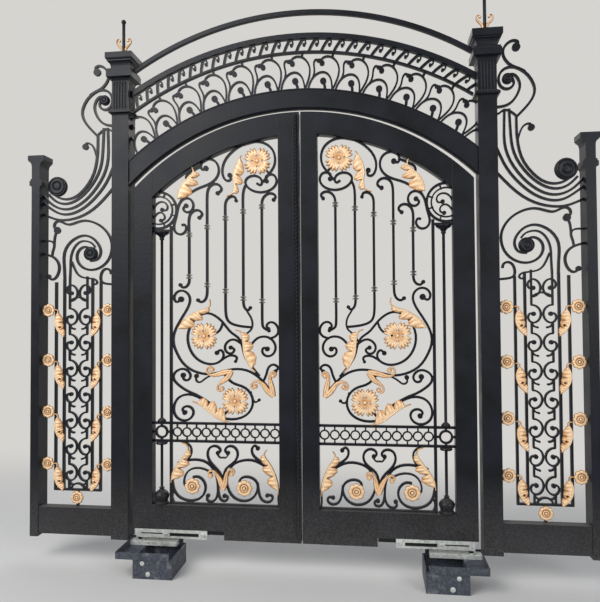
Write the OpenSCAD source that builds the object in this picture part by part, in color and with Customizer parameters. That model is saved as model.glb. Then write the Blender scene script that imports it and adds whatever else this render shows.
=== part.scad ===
// Wrought iron driveway gate: two arched leaves between posts, an arched
// overthrow and two side panels. The left leaf and left panel are drawn and
// mirrored for the right. Millimetres, gate front towards -Y, ground at Z = 0.

/* [Model] */
// Node drawn; all draws the whole gate

/* [Posts] */
// Clear opening between the two main posts
opening_w = 1956; // [1940:2:1970]
// Side of the square main posts
post_w = 100; // [92:2:108]
// Height of the main posts' caps above the crown of the leaves
post_over = 383; // [376:1:436]
// Clear width of each side panel
panel_w = 443; // [436:1:448]
// Face width of the outer posts
outer_w = 50; // [40:2:60]
// Height of the outer posts to the top of the cap
outer_h = 2215; // [2180:5:2260]

/* [Leaves] */
// Thickness of the leaf frame
leaf_d = 60; // [54:1:64]
// Gap between a main post and the hinge stile
hinge_gap = 22; // [18:1:26]
// Width of the hinge stile
hinge_stile_w = 114; // [106:1:116]
// Height of the bottom rail above the ground
leaf_clear = 14; // [10:1:20]
// Top edge of the bottom rail
rail_top = 198; // [190:1:200]
// Height of the leaf arch at the meeting line
leaf_top = 2404; // [2396:1:2407]

/* [Scroll bars] */
// Width of a scroll bar seen from the front
bar_t = 13; // [11:1:14]
// Depth of the bars
bar_d = 16; // [12:1:20]
// Width of the finer bars of the lattice and the frieze
fine_t = 10; // [8:1:11]

/* [Hidden] */
half = opening_w / 2;
post_h = leaf_top + post_over;
arch_rise = leaf_top - 2404;
post_x = half + post_w / 2;
panel_x = half + post_w;
outer_x = panel_x + panel_w;
mid_y = post_w / 2;
leaf_front = mid_y - leaf_d / 2;
leaf_back = leaf_front + leaf_d;
bar_front = mid_y - bar_d / 2;
bar_back = mid_y + bar_d / 2;
stile_out = half - hinge_gap;
stile_in = stile_out - hinge_stile_w;
meet_in = 111;
infill_k = (stile_in - meet_in) / 731;
meet_gap = 8;
meet_left = 9;
strip_w = 36;
pin_in = 38;
pin_x = stile_out - pin_in;
pin_r = 19;
pin_clear = 0.4;
shoe_h = 48;
shoe_end = pin_x - 396;
tongue_end = shoe_end - 94;
beam_r = 1384;
beam_h = 112;
arch_gap = 14;
leaf_r = beam_r - 49;
rail_crown = 125;
leaf_in_r = leaf_r - 90;
leaf_in_z = leaf_top - rail_crown - leaf_in_r;
beam_z = leaf_top + arch_gap - beam_r;
beam_front = 8;
beam_back = mid_y;
frieze_t = 12;
frieze_z = beam_z - 28;
frieze_r = beam_r + 354;
rail_r = frieze_r + 82;
rail_h = 30;
top_z = beam_z + 156;
top_r = beam_r + 391;
top_h = 25;
neck_z = post_h - 322;
collar_z = post_h - 165;
plate_d = 12;
gold_front = bar_front - plate_d;

$fa = 6;
$fs = 0.8;

black = [0.09, 0.10, 0.13];
gold = [0.93, 0.70, 0.42];
zinc = [0.72, 0.74, 0.70];

// Smooth curve through a list of points, as [x, z, heading] along its length

function wrap(a) = a > 180 ? wrap(a - 360) : a <= -180 ? wrap(a + 360) : a;
function heading(a, b) = atan2(b[1] - a[1], b[0] - a[0]);
function bend_at(p, i) =
  i < 1 || i > len(p) - 2 ? 0 : abs(wrap(heading(p[i], p[i + 1]) - heading(p[i - 1], p[i])));
function steps(p, i) =
  let(bend = max(bend_at(p, i), bend_at(p, i + 1)), span = norm(p[i + 1] - p[i]))
  max(1, round(sqrt(span * bend / 200)));
function inner_control(p, i) = (8 * p[i] - p[i - 1] - p[i + 1]) / 6;
function control(p, i) =
  i < 0 ? 2 * p[0] - control(p, 1) :
  i > len(p) - 1 ? 2 * p[len(p) - 1] - control(p, len(p) - 2) :
  i == 0 || i == len(p) - 1 ? p[i] : inner_control(p, i);
function spline_point(a, b, c, d, t) =
  (pow(1 - t, 3) * a + (3 * pow(t, 3) - 6 * t * t + 4) * b
   + (3 * t * t + 3 * t + 1 - 3 * pow(t, 3)) * c + pow(t, 3) * d) / 6;
function spline_way(a, b, c, d, t) =
  (-pow(1 - t, 2) * a + (3 * t * t - 4 * t) * b + (2 * t + 1 - 3 * t * t) * c + t * t * d) / 2;
function sample(p, i, t) =
  let(a = control(p, i - 1), b = control(p, i), c = control(p, i + 1), d = control(p, i + 2),
      s = spline_point(a, b, c, d, t), v = spline_way(a, b, c, d, t))
  [s[0], s[1], atan2(v[1], v[0])];
function curve(p) =
  concat([for (i = [0:len(p) - 2]) let(n = steps(p, i)) for (k = [0:n - 1]) sample(p, i, k / n)],
    [sample(p, len(p) - 2, 1)]);

// Points beside a curve
function beside(s, o) = [s[0] - o * sin(s[2]), s[1] + o * cos(s[2])];
function side_of(run, o) = [for (s = run) beside(s, o)];
function reversed(v) = [for (i = [len(v) - 1:-1:0]) v[i]];

// Bar bent along a path, with a round knob at its last point when knob is given
module bent(path, knob = 0, t = bar_t, d = bar_d) {
  run = curve(path);
  end = path[len(path) - 1];
  plate(concat(side_of(run, t / 2), reversed(side_of(run, -t / 2))), mid_y - d / 2, mid_y + d / 2);
  if (knob > 0) disc(end[0], end[1], knob, mid_y - d / 2, mid_y + d / 2);
}

// Plate, disc, ring and turned piece standing in the plane of the gate
module plate(points, y0, y1) {
  translate([0, y1, 0]) rotate([90, 0, 0]) linear_extrude(y1 - y0) polygon(points);
}

module disc(x, z, r, y0, y1) {
  translate([x, y1, z]) rotate([90, 0, 0]) cylinder(r = r, h = y1 - y0);
}

module ring(x, z, r, t, d = bar_d) {
  difference() {
    disc(x, z, r + t / 2, mid_y - d / 2, mid_y + d / 2);
    disc(x, z, r - t / 2, mid_y - d, mid_y + d);
  }
}

module box(x0, x1, y0, y1, z0, z1) {
  translate([x0, y0, z0]) cube([x1 - x0, y1 - y0, z1 - z0]);
}

module upright(x, z0, z1, w = picket_w) box(x - w / 2, x + w / 2, bar_front, bar_back, z0, z1);
module level(x0, x1, z, h = fine_t) box(x0, x1, bar_front, bar_back, z - h / 2, z + h / 2);

module at_origin() {
  translate([post_x, -post_w / 2, 0]) children();
}

module mirrored() {
  mirror([1, 0, 0]) children();
}

// Square moulding run: one side's profile [projection, z] taken all the way round
function both_edges(h, profile) =
  concat([for (p = profile) [h + p[0], p[1]]], reversed([for (p = profile) [-h - p[0], p[1]]]));

module moulded(w, d, profile) {
  intersection() {
    rotate([90, 0, 0]) translate([0, 0, -w]) linear_extrude(2 * w)
      polygon(both_edges(w / 2, profile));
    rotate([90, 0, 90]) translate([0, 0, -w]) linear_extrude(2 * w)
      polygon(both_edges(d / 2, profile));
  }
}

// Quarter-round stretch of a profile, hollow or bulging, from one [out, z] to another
function hollow(a, b) =
  [for (t = [18:18:90]) [a[0] + (b[0] - a[0]) * (1 - cos(t)), a[1] + (b[1] - a[1]) * sin(t)]];
function bulging(a, b) =
  [for (t = [18:18:90]) [a[0] + (b[0] - a[0]) * sin(t), a[1] + (b[1] - a[1]) * (1 - cos(t))]];

// Main post: shaft, ring moulding, reeded neck, collar and moulded cap
neck_ring_z = neck_z - 25;
reed_r = 6;
post_profile = concat([[0, 0], [0, neck_ring_z - 14]], hollow([0, neck_ring_z - 14], [14, neck_ring_z]),
  [[16, neck_ring_z + 2], [16, neck_ring_z + 12], [10, neck_ring_z + 16], [10, neck_z - 6], [0, neck_z],
   [0, collar_z]], hollow([0, collar_z], [18, collar_z + 22]), [[25, collar_z + 26], [25, collar_z + 62]],
  [[20, collar_z + 66], [20, collar_z + 74], [5, collar_z + 78], [5, post_h - 80]],
  hollow([5, post_h - 80], [22, post_h - 48]), [[22, post_h - 40]],
  bulging([22, post_h - 40], [30, post_h - 28]), [[30, post_h]]);

module main_post() {
  translate([-post_x, mid_y, 0]) difference() {
    moulded(post_w, post_w, post_profile);
    for (a = [0:90:270]) rotate(a) for (i = [-2:2])
      translate([i * post_w / 6, -post_w / 2 - 2, neck_z]) cylinder(r = reed_r, h = collar_z - neck_z);
  }
}

module left_main_post() color(black) at_origin() main_post();
module right_main_post() color(black) at_origin() mirrored() main_post();

// Outer post with its collar and moulded cap
outer_collar_z = outer_h - 191;
outer_profile = concat([[0, 0], [0, outer_collar_z]],
  hollow([0, outer_collar_z], [10, outer_collar_z + 12]),
  [[14, outer_collar_z + 14], [14, outer_collar_z + 38]],
  [[8, outer_collar_z + 42], [8, outer_collar_z + 50], [0, outer_collar_z + 52], [0, outer_h - 70]],
  hollow([0, outer_h - 70], [20, outer_h - 36]), [[20, outer_h - 30]],
  bulging([20, outer_h - 30], [30, outer_h - 18]), [[30, outer_h]]);

module outer_post() {
  translate([-outer_x - outer_w / 2, mid_y, 0]) moulded(outer_w, post_w, outer_profile);
}

module left_outer_post() color(black) at_origin() outer_post();
module right_outer_post() color(black) at_origin() mirrored() outer_post();

// Round solid whose axis runs through the gate, used to cut and keep arches
module round_block(z0, r, y0 = -post_w, y1 = 2 * post_w) {
  translate([0, y1, z0]) rotate([90, 0, 0]) cylinder(r = r, h = y1 - y0, $fn = 360);
}

// Space between the main posts, clear of their ring mouldings
module between_posts() difference() {
  box(-half, half, -post_w, 2 * post_w, 1500, post_h + 400);
  for (k = [0, 1]) mirror([k, 0, 0])
    box(-half - 1, -half + 17, -post_w, 2 * post_w, neck_ring_z - 15, neck_z + 1);
}

module arch(z0, r_in, r_out, y0, y1) {
  difference() {
    intersection() {
      round_block(z0, r_out, y0, y1);
      box(-half, half, y0 - 1, y1 + 1, z0 + 200, z0 + r_out + 10);
    }
    round_block(z0, r_in);
  }
}

module around(z0, a) translate([0, 0, z0]) rotate([0, a, 0]) translate([0, 0, -z0]) children();

// Overthrow: hollow-section beam with a lip moulding along its lower edge
lip_r = beam_r + 4;
lip_h = 14;
lip_d = 6;
module arch_beam() color(black) at_origin() {
  arch(beam_z, beam_r, beam_r + beam_h, beam_front, beam_back);
  arch(beam_z, lip_r, lip_r + lip_h, beam_front - lip_d, beam_front);
  arch(beam_z, beam_r + beam_h - 8, beam_r + beam_h, beam_front - 3, beam_front);
}

module top_arch_bar() color(black) at_origin() difference() {
  arch(top_z, top_r, top_r + top_h, mid_y - top_h / 2, mid_y + top_h / 2);
  main_post();
  mirrored() main_post();
}

// Frieze of crosiers: one unit at the crown, drawn from its foot on the beam
unit_a = 5.85;
unit_first = -38.75;
unit_n = 14;
unit_crosier = [[132, -16], [137, 0], [152, 32], [164, 62], [174, 108], [163, 154], [131, 188], [95, 192],
  [72, 176], [76, 156]];
unit_arch = [[-2, -12], [12, 45], [34, 82], [70, 104], [106, 97], [130, 62], [137, 10], [138, -14]];
unit_stem = [[24, 66], [35, 100], [33, 130], [30, 158], [40, 176], [54, 170]];
unit_knob = [[100, -16], [96, 24], [86, 54]];
unit_neck = [[134, 184], [137, 218]];

module frieze_unit() translate([0, 0, beam_z + beam_r + beam_h]) {
  bent(unit_crosier, 15, fine_t, bar_d);
  bent(unit_arch, 0, fine_t, bar_d);
  bent(unit_stem, 10, fine_t, bar_d);
  bent(unit_knob, 18, 16, bar_d);
  bent(unit_neck, 0, 14, bar_d);
  disc(64, 172, 9, bar_front, bar_back);
}

module frieze_scrolls() color(black) at_origin() intersection() {
  difference() {
    for (i = [0:unit_n - 1]) around(beam_z, unit_first + i * unit_a) frieze_unit();
    round_block(beam_z, beam_r + beam_h);
  }
  round_block(frieze_z, frieze_r);
  between_posts();
}

// Band of running waves between two arched rails over the frieze
wave_a = 2.31;
wave_n = 29;
wave_bar = [[-6, -3], [4, 22], [16, 46], [34, 74]];
wave_hook = [[30, 68], [46, 62], [47, 44], [38, 36]];

module wave() translate([0, 0, frieze_z + frieze_r + frieze_t]) {
  bent(wave_bar, 0, 15, bar_d);
  bent(wave_hook, 9, 9, bar_d);
}

module wave_band() color(black) at_origin() intersection() {
  union() {
    arch(frieze_z, rail_r, rail_r + rail_h, mid_y - rail_h / 2, mid_y + rail_h / 2);
    arch(frieze_z, frieze_r, frieze_r + frieze_t, mid_y - 12, mid_y + 12);
    for (i = [0:wave_n - 1]) around(frieze_z, (i - (wave_n - 1) / 2) * wave_a) wave();
  }
  between_posts();
}

// Finials: a rod on each main post between two curled leaves
rod_r = 9;
rod_h = 212;
module finial_rod() translate([-post_x, mid_y, post_h]) {
  cylinder(r = rod_r, h = rod_h);
  cylinder(r = 2 * rod_r, h = 10);
  translate([0, 0, rod_h - 4]) sphere(r = rod_r + 5);
}
module finial_rods() color(black) at_origin() {
  finial_rod();
  mirrored() finial_rod();
}

finial_outline = [[9.5, 12], [14, 40], [24, 66], [40, 82], [48, 104], [38, 122], [29, 110], [34, 98],
  [24, 92], [14, 72], [9.5, 50]];
module finial_leaf(k) translate([-post_x, 0, post_h]) mirror([k, 0, 0])
  plate(finial_outline, mid_y - 5, mid_y + 5);
module finial_leaves() color(gold) at_origin() {
  for (k = [0, 1]) finial_leaf(k);
  mirrored() for (k = [0, 1]) finial_leaf(k);
}

// Side panel, drawn from its edge at the main post: bottom rail, lattice of paired
// scrolls, then volute, harp and crosier
side_rail_top = 170;
module side_rail() box(-outer_x, -panel_x, 4, 60, 18, side_rail_top);
module left_side_rail() color(black) at_origin() side_rail();
module right_side_rail() color(black) at_origin() mirrored() side_rail();

module in_panel(z0, z1) translate([-panel_x, 0, 0]) intersection() {
  children();
  box(-panel_w, 0, 0, post_w, z0, z1);
}

lat_x = -(panel_w + 5) / 2;
lat_in = 87;
lat_out = 138;
lat_foot = 261;
lat_top = 1352;
lat_z = 356;
lat_n = 7;
lat_pitch = 151;
picket_w = 14;
rosette_z = [411, 712, 1012, 1304];
rosette_r = 38;
rosette_x = [-panel_w + rosette_r, -rosette_r];
pair_scroll = [[-57, 52], [-41, 50], [-17, 35], [-6, 3], [-17, -28], [-43, -44], [-66, -32], [-72, -10],
  [-60, 8], [-44, 4]];
pair_foot = [[-53, -46], [-44, -62], [-25, -68]];

module both_sides(x, z) for (k = [0, 1]) translate([x, 0, z]) mirror([k, 0, 0]) children();

module lattice() {
  for (s = [-lat_out, -lat_in, lat_in, lat_out]) upright(lat_x + s, lat_foot, lat_top);
  level(lat_x - lat_out - 7, lat_x + lat_out + 7, lat_foot, 12);
  bent([[lat_x - 42, lat_foot], [lat_x - 30, lat_foot + 26], [lat_x, lat_foot + 36],
    [lat_x + 30, lat_foot + 26], [lat_x + 42, lat_foot]], 0, fine_t);
  upright(lat_x, side_rail_top, lat_foot);
  for (z = rosette_z) {
    level(-panel_w, lat_x - lat_out, z, 12);
    level(lat_x + lat_out, 0, z, 12);
  }
  for (i = [0:lat_n - 1]) both_sides(lat_x, lat_z + i * lat_pitch) {
    bent(pair_scroll, 12, fine_t);
    bent(pair_foot, 6, fine_t);
    translate([-54, 0, 0]) upright(0, i == 0 ? lat_foot - lat_z : 52 - lat_pitch, -44, fine_t);
    if (i == lat_n - 1) translate([-54, 0, 0]) upright(0, 50, lat_top - lat_z - i * lat_pitch, fine_t);
  }
}
module left_lattice() color(black) at_origin() in_panel(0, lat_top) lattice();
module right_lattice() color(black) at_origin() mirrored() in_panel(0, lat_top) lattice();

crosier = [[-107, 2325], [-176, 2397], [-203, 2454], [-198, 2502], [-172, 2550], [-130, 2586],
  [-86, 2606], [-55, 2640], [-43, 2677], [-53, 2714], [-90, 2743], [-124, 2733], [-112, 2706]];
crosier_volute = [[-157, 2570], [-102, 2599], [-49, 2591], [-22, 2558], [-19, 2520], [-34, 2491],
  [-60, 2480], [-86, 2489], [-98, 2514], [-88, 2540]];
crosier_inner = [[8, 2384], [-47, 2388], [-89, 2412], [-117, 2455], [-129, 2500], [-112, 2546],
  [-82, 2560], [-60, 2541]];
harp_a = [[-107, 2335], [-108, 2234], [-115, 2178], [-130, 2110], [-164, 2048], [-211, 1996],
  [-255, 1968], [-307, 1959], [-352, 1972], [-388, 2002], [-398, 2046], [-378, 2082], [-340, 2082],
  [-322, 2050], [-346, 2030]];
harp_b = [[-70, 2372], [-77, 2233], [-85, 2165], [-105, 2102], [-144, 2039], [-195, 1983], [-255, 1944],
  [-314, 1932], [-370, 1950], [-416, 1994]];
harp_c = [[-46, 2372], [-42, 2232], [-50, 2157], [-73, 2090], [-112, 2027], [-163, 1968], [-227, 1921],
  [-286, 1901], [-342, 1906], [-398, 1935], [-452, 1990]];
harp_d = [[8, 2190], [-14, 2136], [-38, 2081], [-73, 2022], [-124, 1963], [-187, 1909], [-254, 1877],
  [-314, 1870], [-372, 1888], [-452, 1945]];
harp_e = [[13, 2045], [-22, 2006], [-76, 1947], [-135, 1896], [-195, 1862], [-254, 1843], [-314, 1836],
  [-372, 1843], [-452, 1876]];
harp_tie = [[-108, 2332], [-72, 2362], [-38, 2366], [-22, 2350], [8, 2342]];
harp_curl = [[-110, 2190], [-129, 2254], [-153, 2282], [-180, 2286], [-184, 2266]];
volute_bar = [[-357, 1776], [-378, 1796], [-368, 1826], [-332, 1828], [-290, 1806], [-234, 1822],
  [-179, 1830], [-115, 1811], [-60, 1772], [-25, 1715], [-20, 1659], [-36, 1604], [-78, 1559],
  [-142, 1538], [-201, 1556], [-233, 1600], [-227, 1650], [-184, 1677], [-144, 1655], [-148, 1630]];
volute_arm = [[-310, 1478], [-312, 1541], [-317, 1616], [-305, 1665], [-274, 1706], [-234, 1731],
  [-190, 1742], [-143, 1729], [-107, 1695], [-87, 1649], [-106, 1600], [-152, 1592]];
volute_back = [[-278, 1478], [-274, 1559], [-273, 1615], [-253, 1671], [-218, 1704], [-182, 1709],
  [-143, 1697], [-122, 1672]];
volute_foot = [[-267, 1590], [-233, 1517], [-189, 1494], [-142, 1489], [-112, 1476], [-114, 1456],
  [-134, 1456]];
c_right = [[-24, 1512], [-30, 1536], [-56, 1544], [-80, 1526], [-87, 1485], [-67, 1459], [13, 1452]];
c_left = [[-452, 1640], [-385, 1621], [-353, 1587], [-345, 1547], [-360, 1504], [-390, 1484],
  [-412, 1504]];
bracket = [[-452, 1713], [-397, 1714], [-376, 1690], [-388, 1650], [-392, 1620]];
bracket_tie = [[-378, 1690], [-374, 1740], [-362, 1770]];

module side_scrolls() {
  bent(crosier, 22);
  bent(crosier_volute);
  bent(crosier_inner, 14);
  bent(harp_a, 24);
  bent(harp_curl, 18, fine_t);
  bent(volute_bar, 20);
  for (p = [harp_b, harp_c, harp_d, harp_e, volute_arm]) bent(p);
  for (p = [harp_tie, volute_back, bracket, bracket_tie]) bent(p, 0, fine_t);
  bent([[-354, 1797], [-358, 1776]], 20);
  bent(volute_foot, 9, fine_t);
  bent(c_right, 16);
  bent(c_left, 14);
  for (s = [-lat_out, lat_out]) upright(lat_x + s, lat_top, 1470);
  upright(lat_x - lat_in, lat_top, 1486);
  upright(lat_x + lat_in, lat_top, 1492);
  both_sides(lat_x, lat_top) {
    translate([-54, 0, 0]) upright(0, 0, 150, fine_t);
    translate([0, 0, 56]) mirror([0, 0, 1]) bent(pair_scroll, 12, fine_t);
    bent([[-54, 4], [-30, 20], [0, 28]], 0, fine_t);
  }
}
module left_side_scrolls() color(black) at_origin() in_panel(lat_top, post_h) side_scrolls();
module right_side_scrolls() color(black) at_origin() mirrored() in_panel(lat_top, post_h) side_scrolls();

// Gilded castings, seated on the front of the bars

// Open flower of four lobed leaf groups with a round heart
function flower_outline(r) =
  [for (a = [0:5:355]) let(g = a % 90 - 45, group = min(1, (45 - abs(g)) / 12),
      q = r * (0.5 + group * (0.4 + 0.09 * cos(23 * g)))) [q * cos(a), q * sin(a)]];
flower_r = 80;
module flower(p, r = flower_r) translate([p[0], 0, p[1]]) {
  plate(flower_outline(r), gold_front, bar_front);
  translate([0, gold_front, 0]) rotate([90, 0, 0])
    rotate_extrude() polygon([[0, 0], [r * 0.24, 0], [r * 0.2, 3], [r * 0.1, 4.5], [0, 5]]);
}

// Small round rosette with scalloped rim and raised heart
function rosette_outline(r) =
  [for (a = [0:11.25:348.75]) let(q = r * (0.94 + 0.06 * cos(8 * a))) [q * cos(a), q * sin(a)]];
module rosette(p, r = rosette_r) translate([p[0], 0, p[1]]) {
  plate(rosette_outline(r), gold_front, bar_front);
  translate([0, gold_front, 0]) rotate([90, 0, 0])
    rotate_extrude() polygon([[0, 0], [r * 0.5, 0], [r * 0.45, 3], [r * 0.25, 2], [r * 0.2, 5], [0, 6]]);
}

// Lobed leaf: [midrib, tips, notches, first and last midrib point beside the lobes].
// Each lobe bulges to its tip between two notches and the midrib curls on past them.
rib_w = 12;
function lobe(a, tip, b, n = 6) =
  [for (k = [0:n - 1]) a + (b - a) * k / n + (tip - (a + b) / 2) * pow(sin(180 * k / n), 0.62)];
function leaf_lobes(tips, notches) =
  concat([for (k = [0:len(tips) - 1]) each lobe(notches[k], tips[k], notches[k + 1])],
    [notches[len(tips)]]);
module lobed_leaf(leaf) {
  back = [for (i = [leaf[3][0]:leaf[3][1]]) leaf[0][i]];
  plate(concat([for (s = curve(back)) [s[0], s[1]]], reversed(leaf_lobes(leaf[1], leaf[2]))),
    gold_front, bar_front);
  curled(leaf[0], 0, rib_w);
}

side_leaf = [[[22, -72], [4, -60], [-14, -44], [-30, -18], [-36, 14], [-34, 50], [-22, 78], [-4, 92]],
  [[20, -22], [16, 22], [8, 62]], [[16, -66], [2, -4], [0, 40], [-10, 88]], [0, 7]];
leaf_z = [1224, 921, 615];
leaf_x = lat_x - lat_out + 29;

module side_gilding() translate([-panel_x, 0, 0]) {
  for (z = rosette_z) for (x = rosette_x) rosette([x, z]);
  rosette([lat_x, 218]);
  for (z = leaf_z) both_sides(lat_x, z) translate([leaf_x - lat_x, 0, 0]) lobed_leaf(side_leaf);
  both_sides(lat_x, 330) translate([leaf_x - lat_x, 0, 0]) lobed_leaf(side_leaf);
}
module left_side_gilding() color(gold) at_origin() side_gilding();
module right_side_gilding() color(gold) at_origin() mirrored() side_gilding();

// Foundation box sunk beside the post, with the tab that ties it to the post
lip_x = half - 298;
box_in = half - 314;
box_out = half - 96;
box_wall = 6;
boss_r = pin_r + 9;
box_back = mid_y + boss_r + 1 + box_wall;
box_floor = -140;
ledge_z = -32;
module foundation_box() {
  difference() {
    union() {
      box(-half, -lip_x, -159 - box_wall, box_back, ledge_z - box_wall, 0);
      box(-box_out, -box_in, -159, box_back, box_floor, ledge_z);
    }
    box(-half + box_wall, -lip_x - box_wall, -159, box_back - box_wall, ledge_z, 1);
    box(-box_out + box_wall, -box_in - box_wall, box_wall - 159, box_back - box_wall,
      box_floor + box_wall, 1);
  }
  box(-half, -half + box_wall, 10, 70, -8, 8);
}
module left_foundation_box() color(black) at_origin() foundation_box();
module right_foundation_box() color(black) at_origin() mirrored() foundation_box();

// Bracket in the box with the bore that carries the pivot pin
seat_h = 24;
module pivot_seat() difference() {
  union() {
    box(-half + box_wall, -box_in - box_wall - 30, mid_y - 30, mid_y + 24, ledge_z, ledge_z + seat_h);
    translate([-pin_x, mid_y, ledge_z]) cylinder(r = boss_r, h = seat_h + 6);
  }
  translate([-pin_x, mid_y, ledge_z - 1]) cylinder(r = pin_r + pin_clear, h = seat_h + 10);
}
module left_pivot_seat() color(zinc) at_origin() pivot_seat();
module right_pivot_seat() color(zinc) at_origin() mirrored() pivot_seat();

// Leaf frame
module under_arch() {
  intersection() {
    children();
    union() {
      round_block(leaf_top - leaf_r, leaf_r);
      box(-half, half, -post_w, 2 * post_w, 0, leaf_top - leaf_r);
    }
  }
}

module framed(x0, x1, z0, z1) box(x0, x1, leaf_front, leaf_back, z0, z1);

notch_z = leaf_clear + shoe_h;
module hinge_stile() under_arch() framed(-stile_out, -stile_in, notch_z, leaf_top);
module left_hinge_stile() color(black) at_origin() hinge_stile();
module right_hinge_stile() color(black) at_origin() mirrored() hinge_stile();

module left_meeting_stile() color(black) at_origin() under_arch()
  framed(-meet_in, meet_left, leaf_clear, leaf_top + 1);
module right_meeting_stile() color(black) at_origin() under_arch()
  framed(meet_left + meet_gap, meet_in, leaf_clear, leaf_top + 1);

module top_rail() under_arch() difference() {
  framed(-stile_in, -meet_in, leaf_in_z + leaf_in_r / 2, leaf_top);
  round_block(leaf_in_z, leaf_in_r);
}
module left_top_rail() color(black) at_origin() top_rail();
module right_top_rail() color(black) at_origin() mirrored() top_rail();

module bottom_rail() {
  framed(-stile_in, -meet_in, notch_z, rail_top);
  framed(3 - tongue_end, -meet_in, leaf_clear, notch_z);
  box(strip_in, -meet_in, bar_front, bar_back, rail_top, rail_top + 12);
}
module left_bottom_rail() color(black) at_origin() bottom_rail();
module right_bottom_rail() color(black) at_origin() mirrored() bottom_rail();

// Cover strip on the left leaf, with the beads of its twisted edge
strip_d = 8;
strip_z0 = 30;
strip_z1 = 2395;
module meeting_strip() color(black) at_origin()
  box(meet_left - strip_w, meet_left, leaf_front - strip_d, leaf_front, strip_z0, strip_z1);

// Leaf patterns are drawn for an opening 731 wide and take the width of the real one
function fit_x(x) = (x + meet_in) * infill_k - meet_in;
function fitted(path) = [for (p = path) [fit_x(p[0]), p[1]]];
module leaf_bar(path, knob = 0, t = bar_t) bent(fitted(path), knob, t);
module at_arch() translate([0, 0, arch_rise]) children();

// Column beside the hinge stile, with the scrolled medallion above it
col_x = 47 - stile_in;
strip_x = 103 - stile_in;
strip_in = strip_x + 8;
band_top = 656;
band_foot = 555;
med_x = 30 - stile_in;
med_z = 1877 + arch_rise;
capital_z = 1705 + arch_rise;
strip_top = 1785 + arch_rise;
med_foot = 1765 + arch_rise;
med_r = 105;
med_scroll_up = [[-33, 3], [-23, 28], [0, 47], [31, 47], [52, 25], [44, -1], [20, 3]];
med_scroll_low = [[-33, -49], [-18, -25], [6, -11], [31, -25], [33, -51], [12, -59]];
urn = [[0, 0], [40, 0], [40, 10], [34, 14], [36, 24], [42, 40], [43, 52], [34, 66], [18, 78], [12, 84],
  [16, 92], [8, 92]];
capital = [[8, 0], [12, 0], [14, 6], [12, 12], [20, 24], [36, 34], [42, 40], [42, 46], [0, 46]];

module turned(z, profile) translate([col_x, mid_y, z]) rotate_extrude() polygon(profile);

module column() {
  turned(rail_top, concat(urn, [[8, 94], [8, band_foot - rail_top - 20], [30, band_foot - rail_top - 20],
    [34, band_foot - rail_top - 14], [30, band_foot - rail_top - 7], [0, band_foot - rail_top - 7]]));
  turned(band_top + 7, concat([[0, 0], [24, 0], [24, 8], [12, 20], [8, 22]],
    [for (p = capital) [p[0], p[1] + capital_z - band_top - 7]]));
  for (z = [band_foot, band_top]) level(-stile_in, strip_x, z, 14);
  difference() {
    union() {
      disc(col_x, (band_foot + band_top) / 2, 38, bar_front, bar_back);
      box(col_x - 6, col_x + 6, bar_front, bar_back, band_foot + 7, band_top - 7);
      level(-stile_in, strip_x - 8, (band_foot + band_top) / 2, 12);
    }
    disc(col_x, (band_foot + band_top) / 2, 26, 0, post_w);
  }
  box(strip_x - 8, strip_in, bar_front, bar_back, rail_top, strip_top);
  level(-stile_in, strip_x - 8, med_foot - 7, 14);
}
module left_column() color(black) at_origin() column();
module right_column() color(black) at_origin() mirrored() column();

module medallion() intersection() {
  union() {
    ring(med_x, med_z, med_r, 14);
    ring(med_x, med_z, med_r - 25, 8);
    translate([med_x, 0, med_z]) {
      bent(med_scroll_up, 12, 9);
      bent(med_scroll_low, 11, 9);
      for (a = [-70, -20, 20, 70]) bent([[74 * cos(a), 74 * sin(a)], [102 * cos(a), 102 * sin(a)]], 0, 8);
    }
  }
  box(-stile_in, med_x + 2 * med_r, 0, post_w, med_foot, leaf_top);
  round_block(leaf_in_z, leaf_in_r);
}
module left_medallion() color(black) at_origin() medallion();
module right_medallion() color(black) at_origin() mirrored() medallion();

// Opening of a leaf inside its frame
module in_infill(z0, z1) intersection() {
  children();
  box(strip_x - 40, -meet_in, 0, post_w, z0, z1);
  round_block(leaf_in_z, leaf_in_r);
}

// Top scrolls of the leaf
top_ring = [[-201, 2020], [-165, 2067], [-139, 2103], [-130, 2146], [-140, 2195], [-173, 2232], [-217, 2251],
  [-267, 2252], [-322, 2237], [-370, 2208], [-412, 2166], [-433, 2120], [-434, 2072], [-414, 2036],
  [-386, 2042], [-392, 2066]];
top_seat = [[-165, 2067], [-190, 2100], [-231, 2139]];
top_c = [[-237, 2016], [-216, 2003], [-205, 2022], [-218, 2046], [-245, 2058], [-279, 2054], [-302, 2031],
  [-293, 2000], [-262, 1975], [-218, 1963], [-169, 1970], [-134, 1994], [-122, 2026], [-135, 2057],
  [-160, 2062], [-184, 2052], [-180, 2026]];
top_volute = [[-648, 1958], [-592, 1992], [-547, 2008], [-502, 2026], [-468, 2058], [-456, 2098],
  [-468, 2140], [-502, 2163], [-541, 2160], [-562, 2134], [-556, 2104], [-532, 2112]];
top_curl = [[-556, 2126], [-590, 2112], [-612, 2098], [-640, 2084], [-650, 2060], [-638, 2040], [-620, 2048]];
medallion_s = [[-676, 1786], [-660, 1792], [-648, 1771], [-661, 1744], [-689, 1735], [-717, 1754],
  [-722, 1792], [-708, 1839], [-700, 1885], [-682, 1925], [-652, 1943], [-620, 1933], [-606, 1899],
  [-621, 1867], [-650, 1862], [-668, 1884], [-650, 1900]];
top_tie = [[-682, 1925], [-668, 1950], [-640, 1965]];

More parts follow.
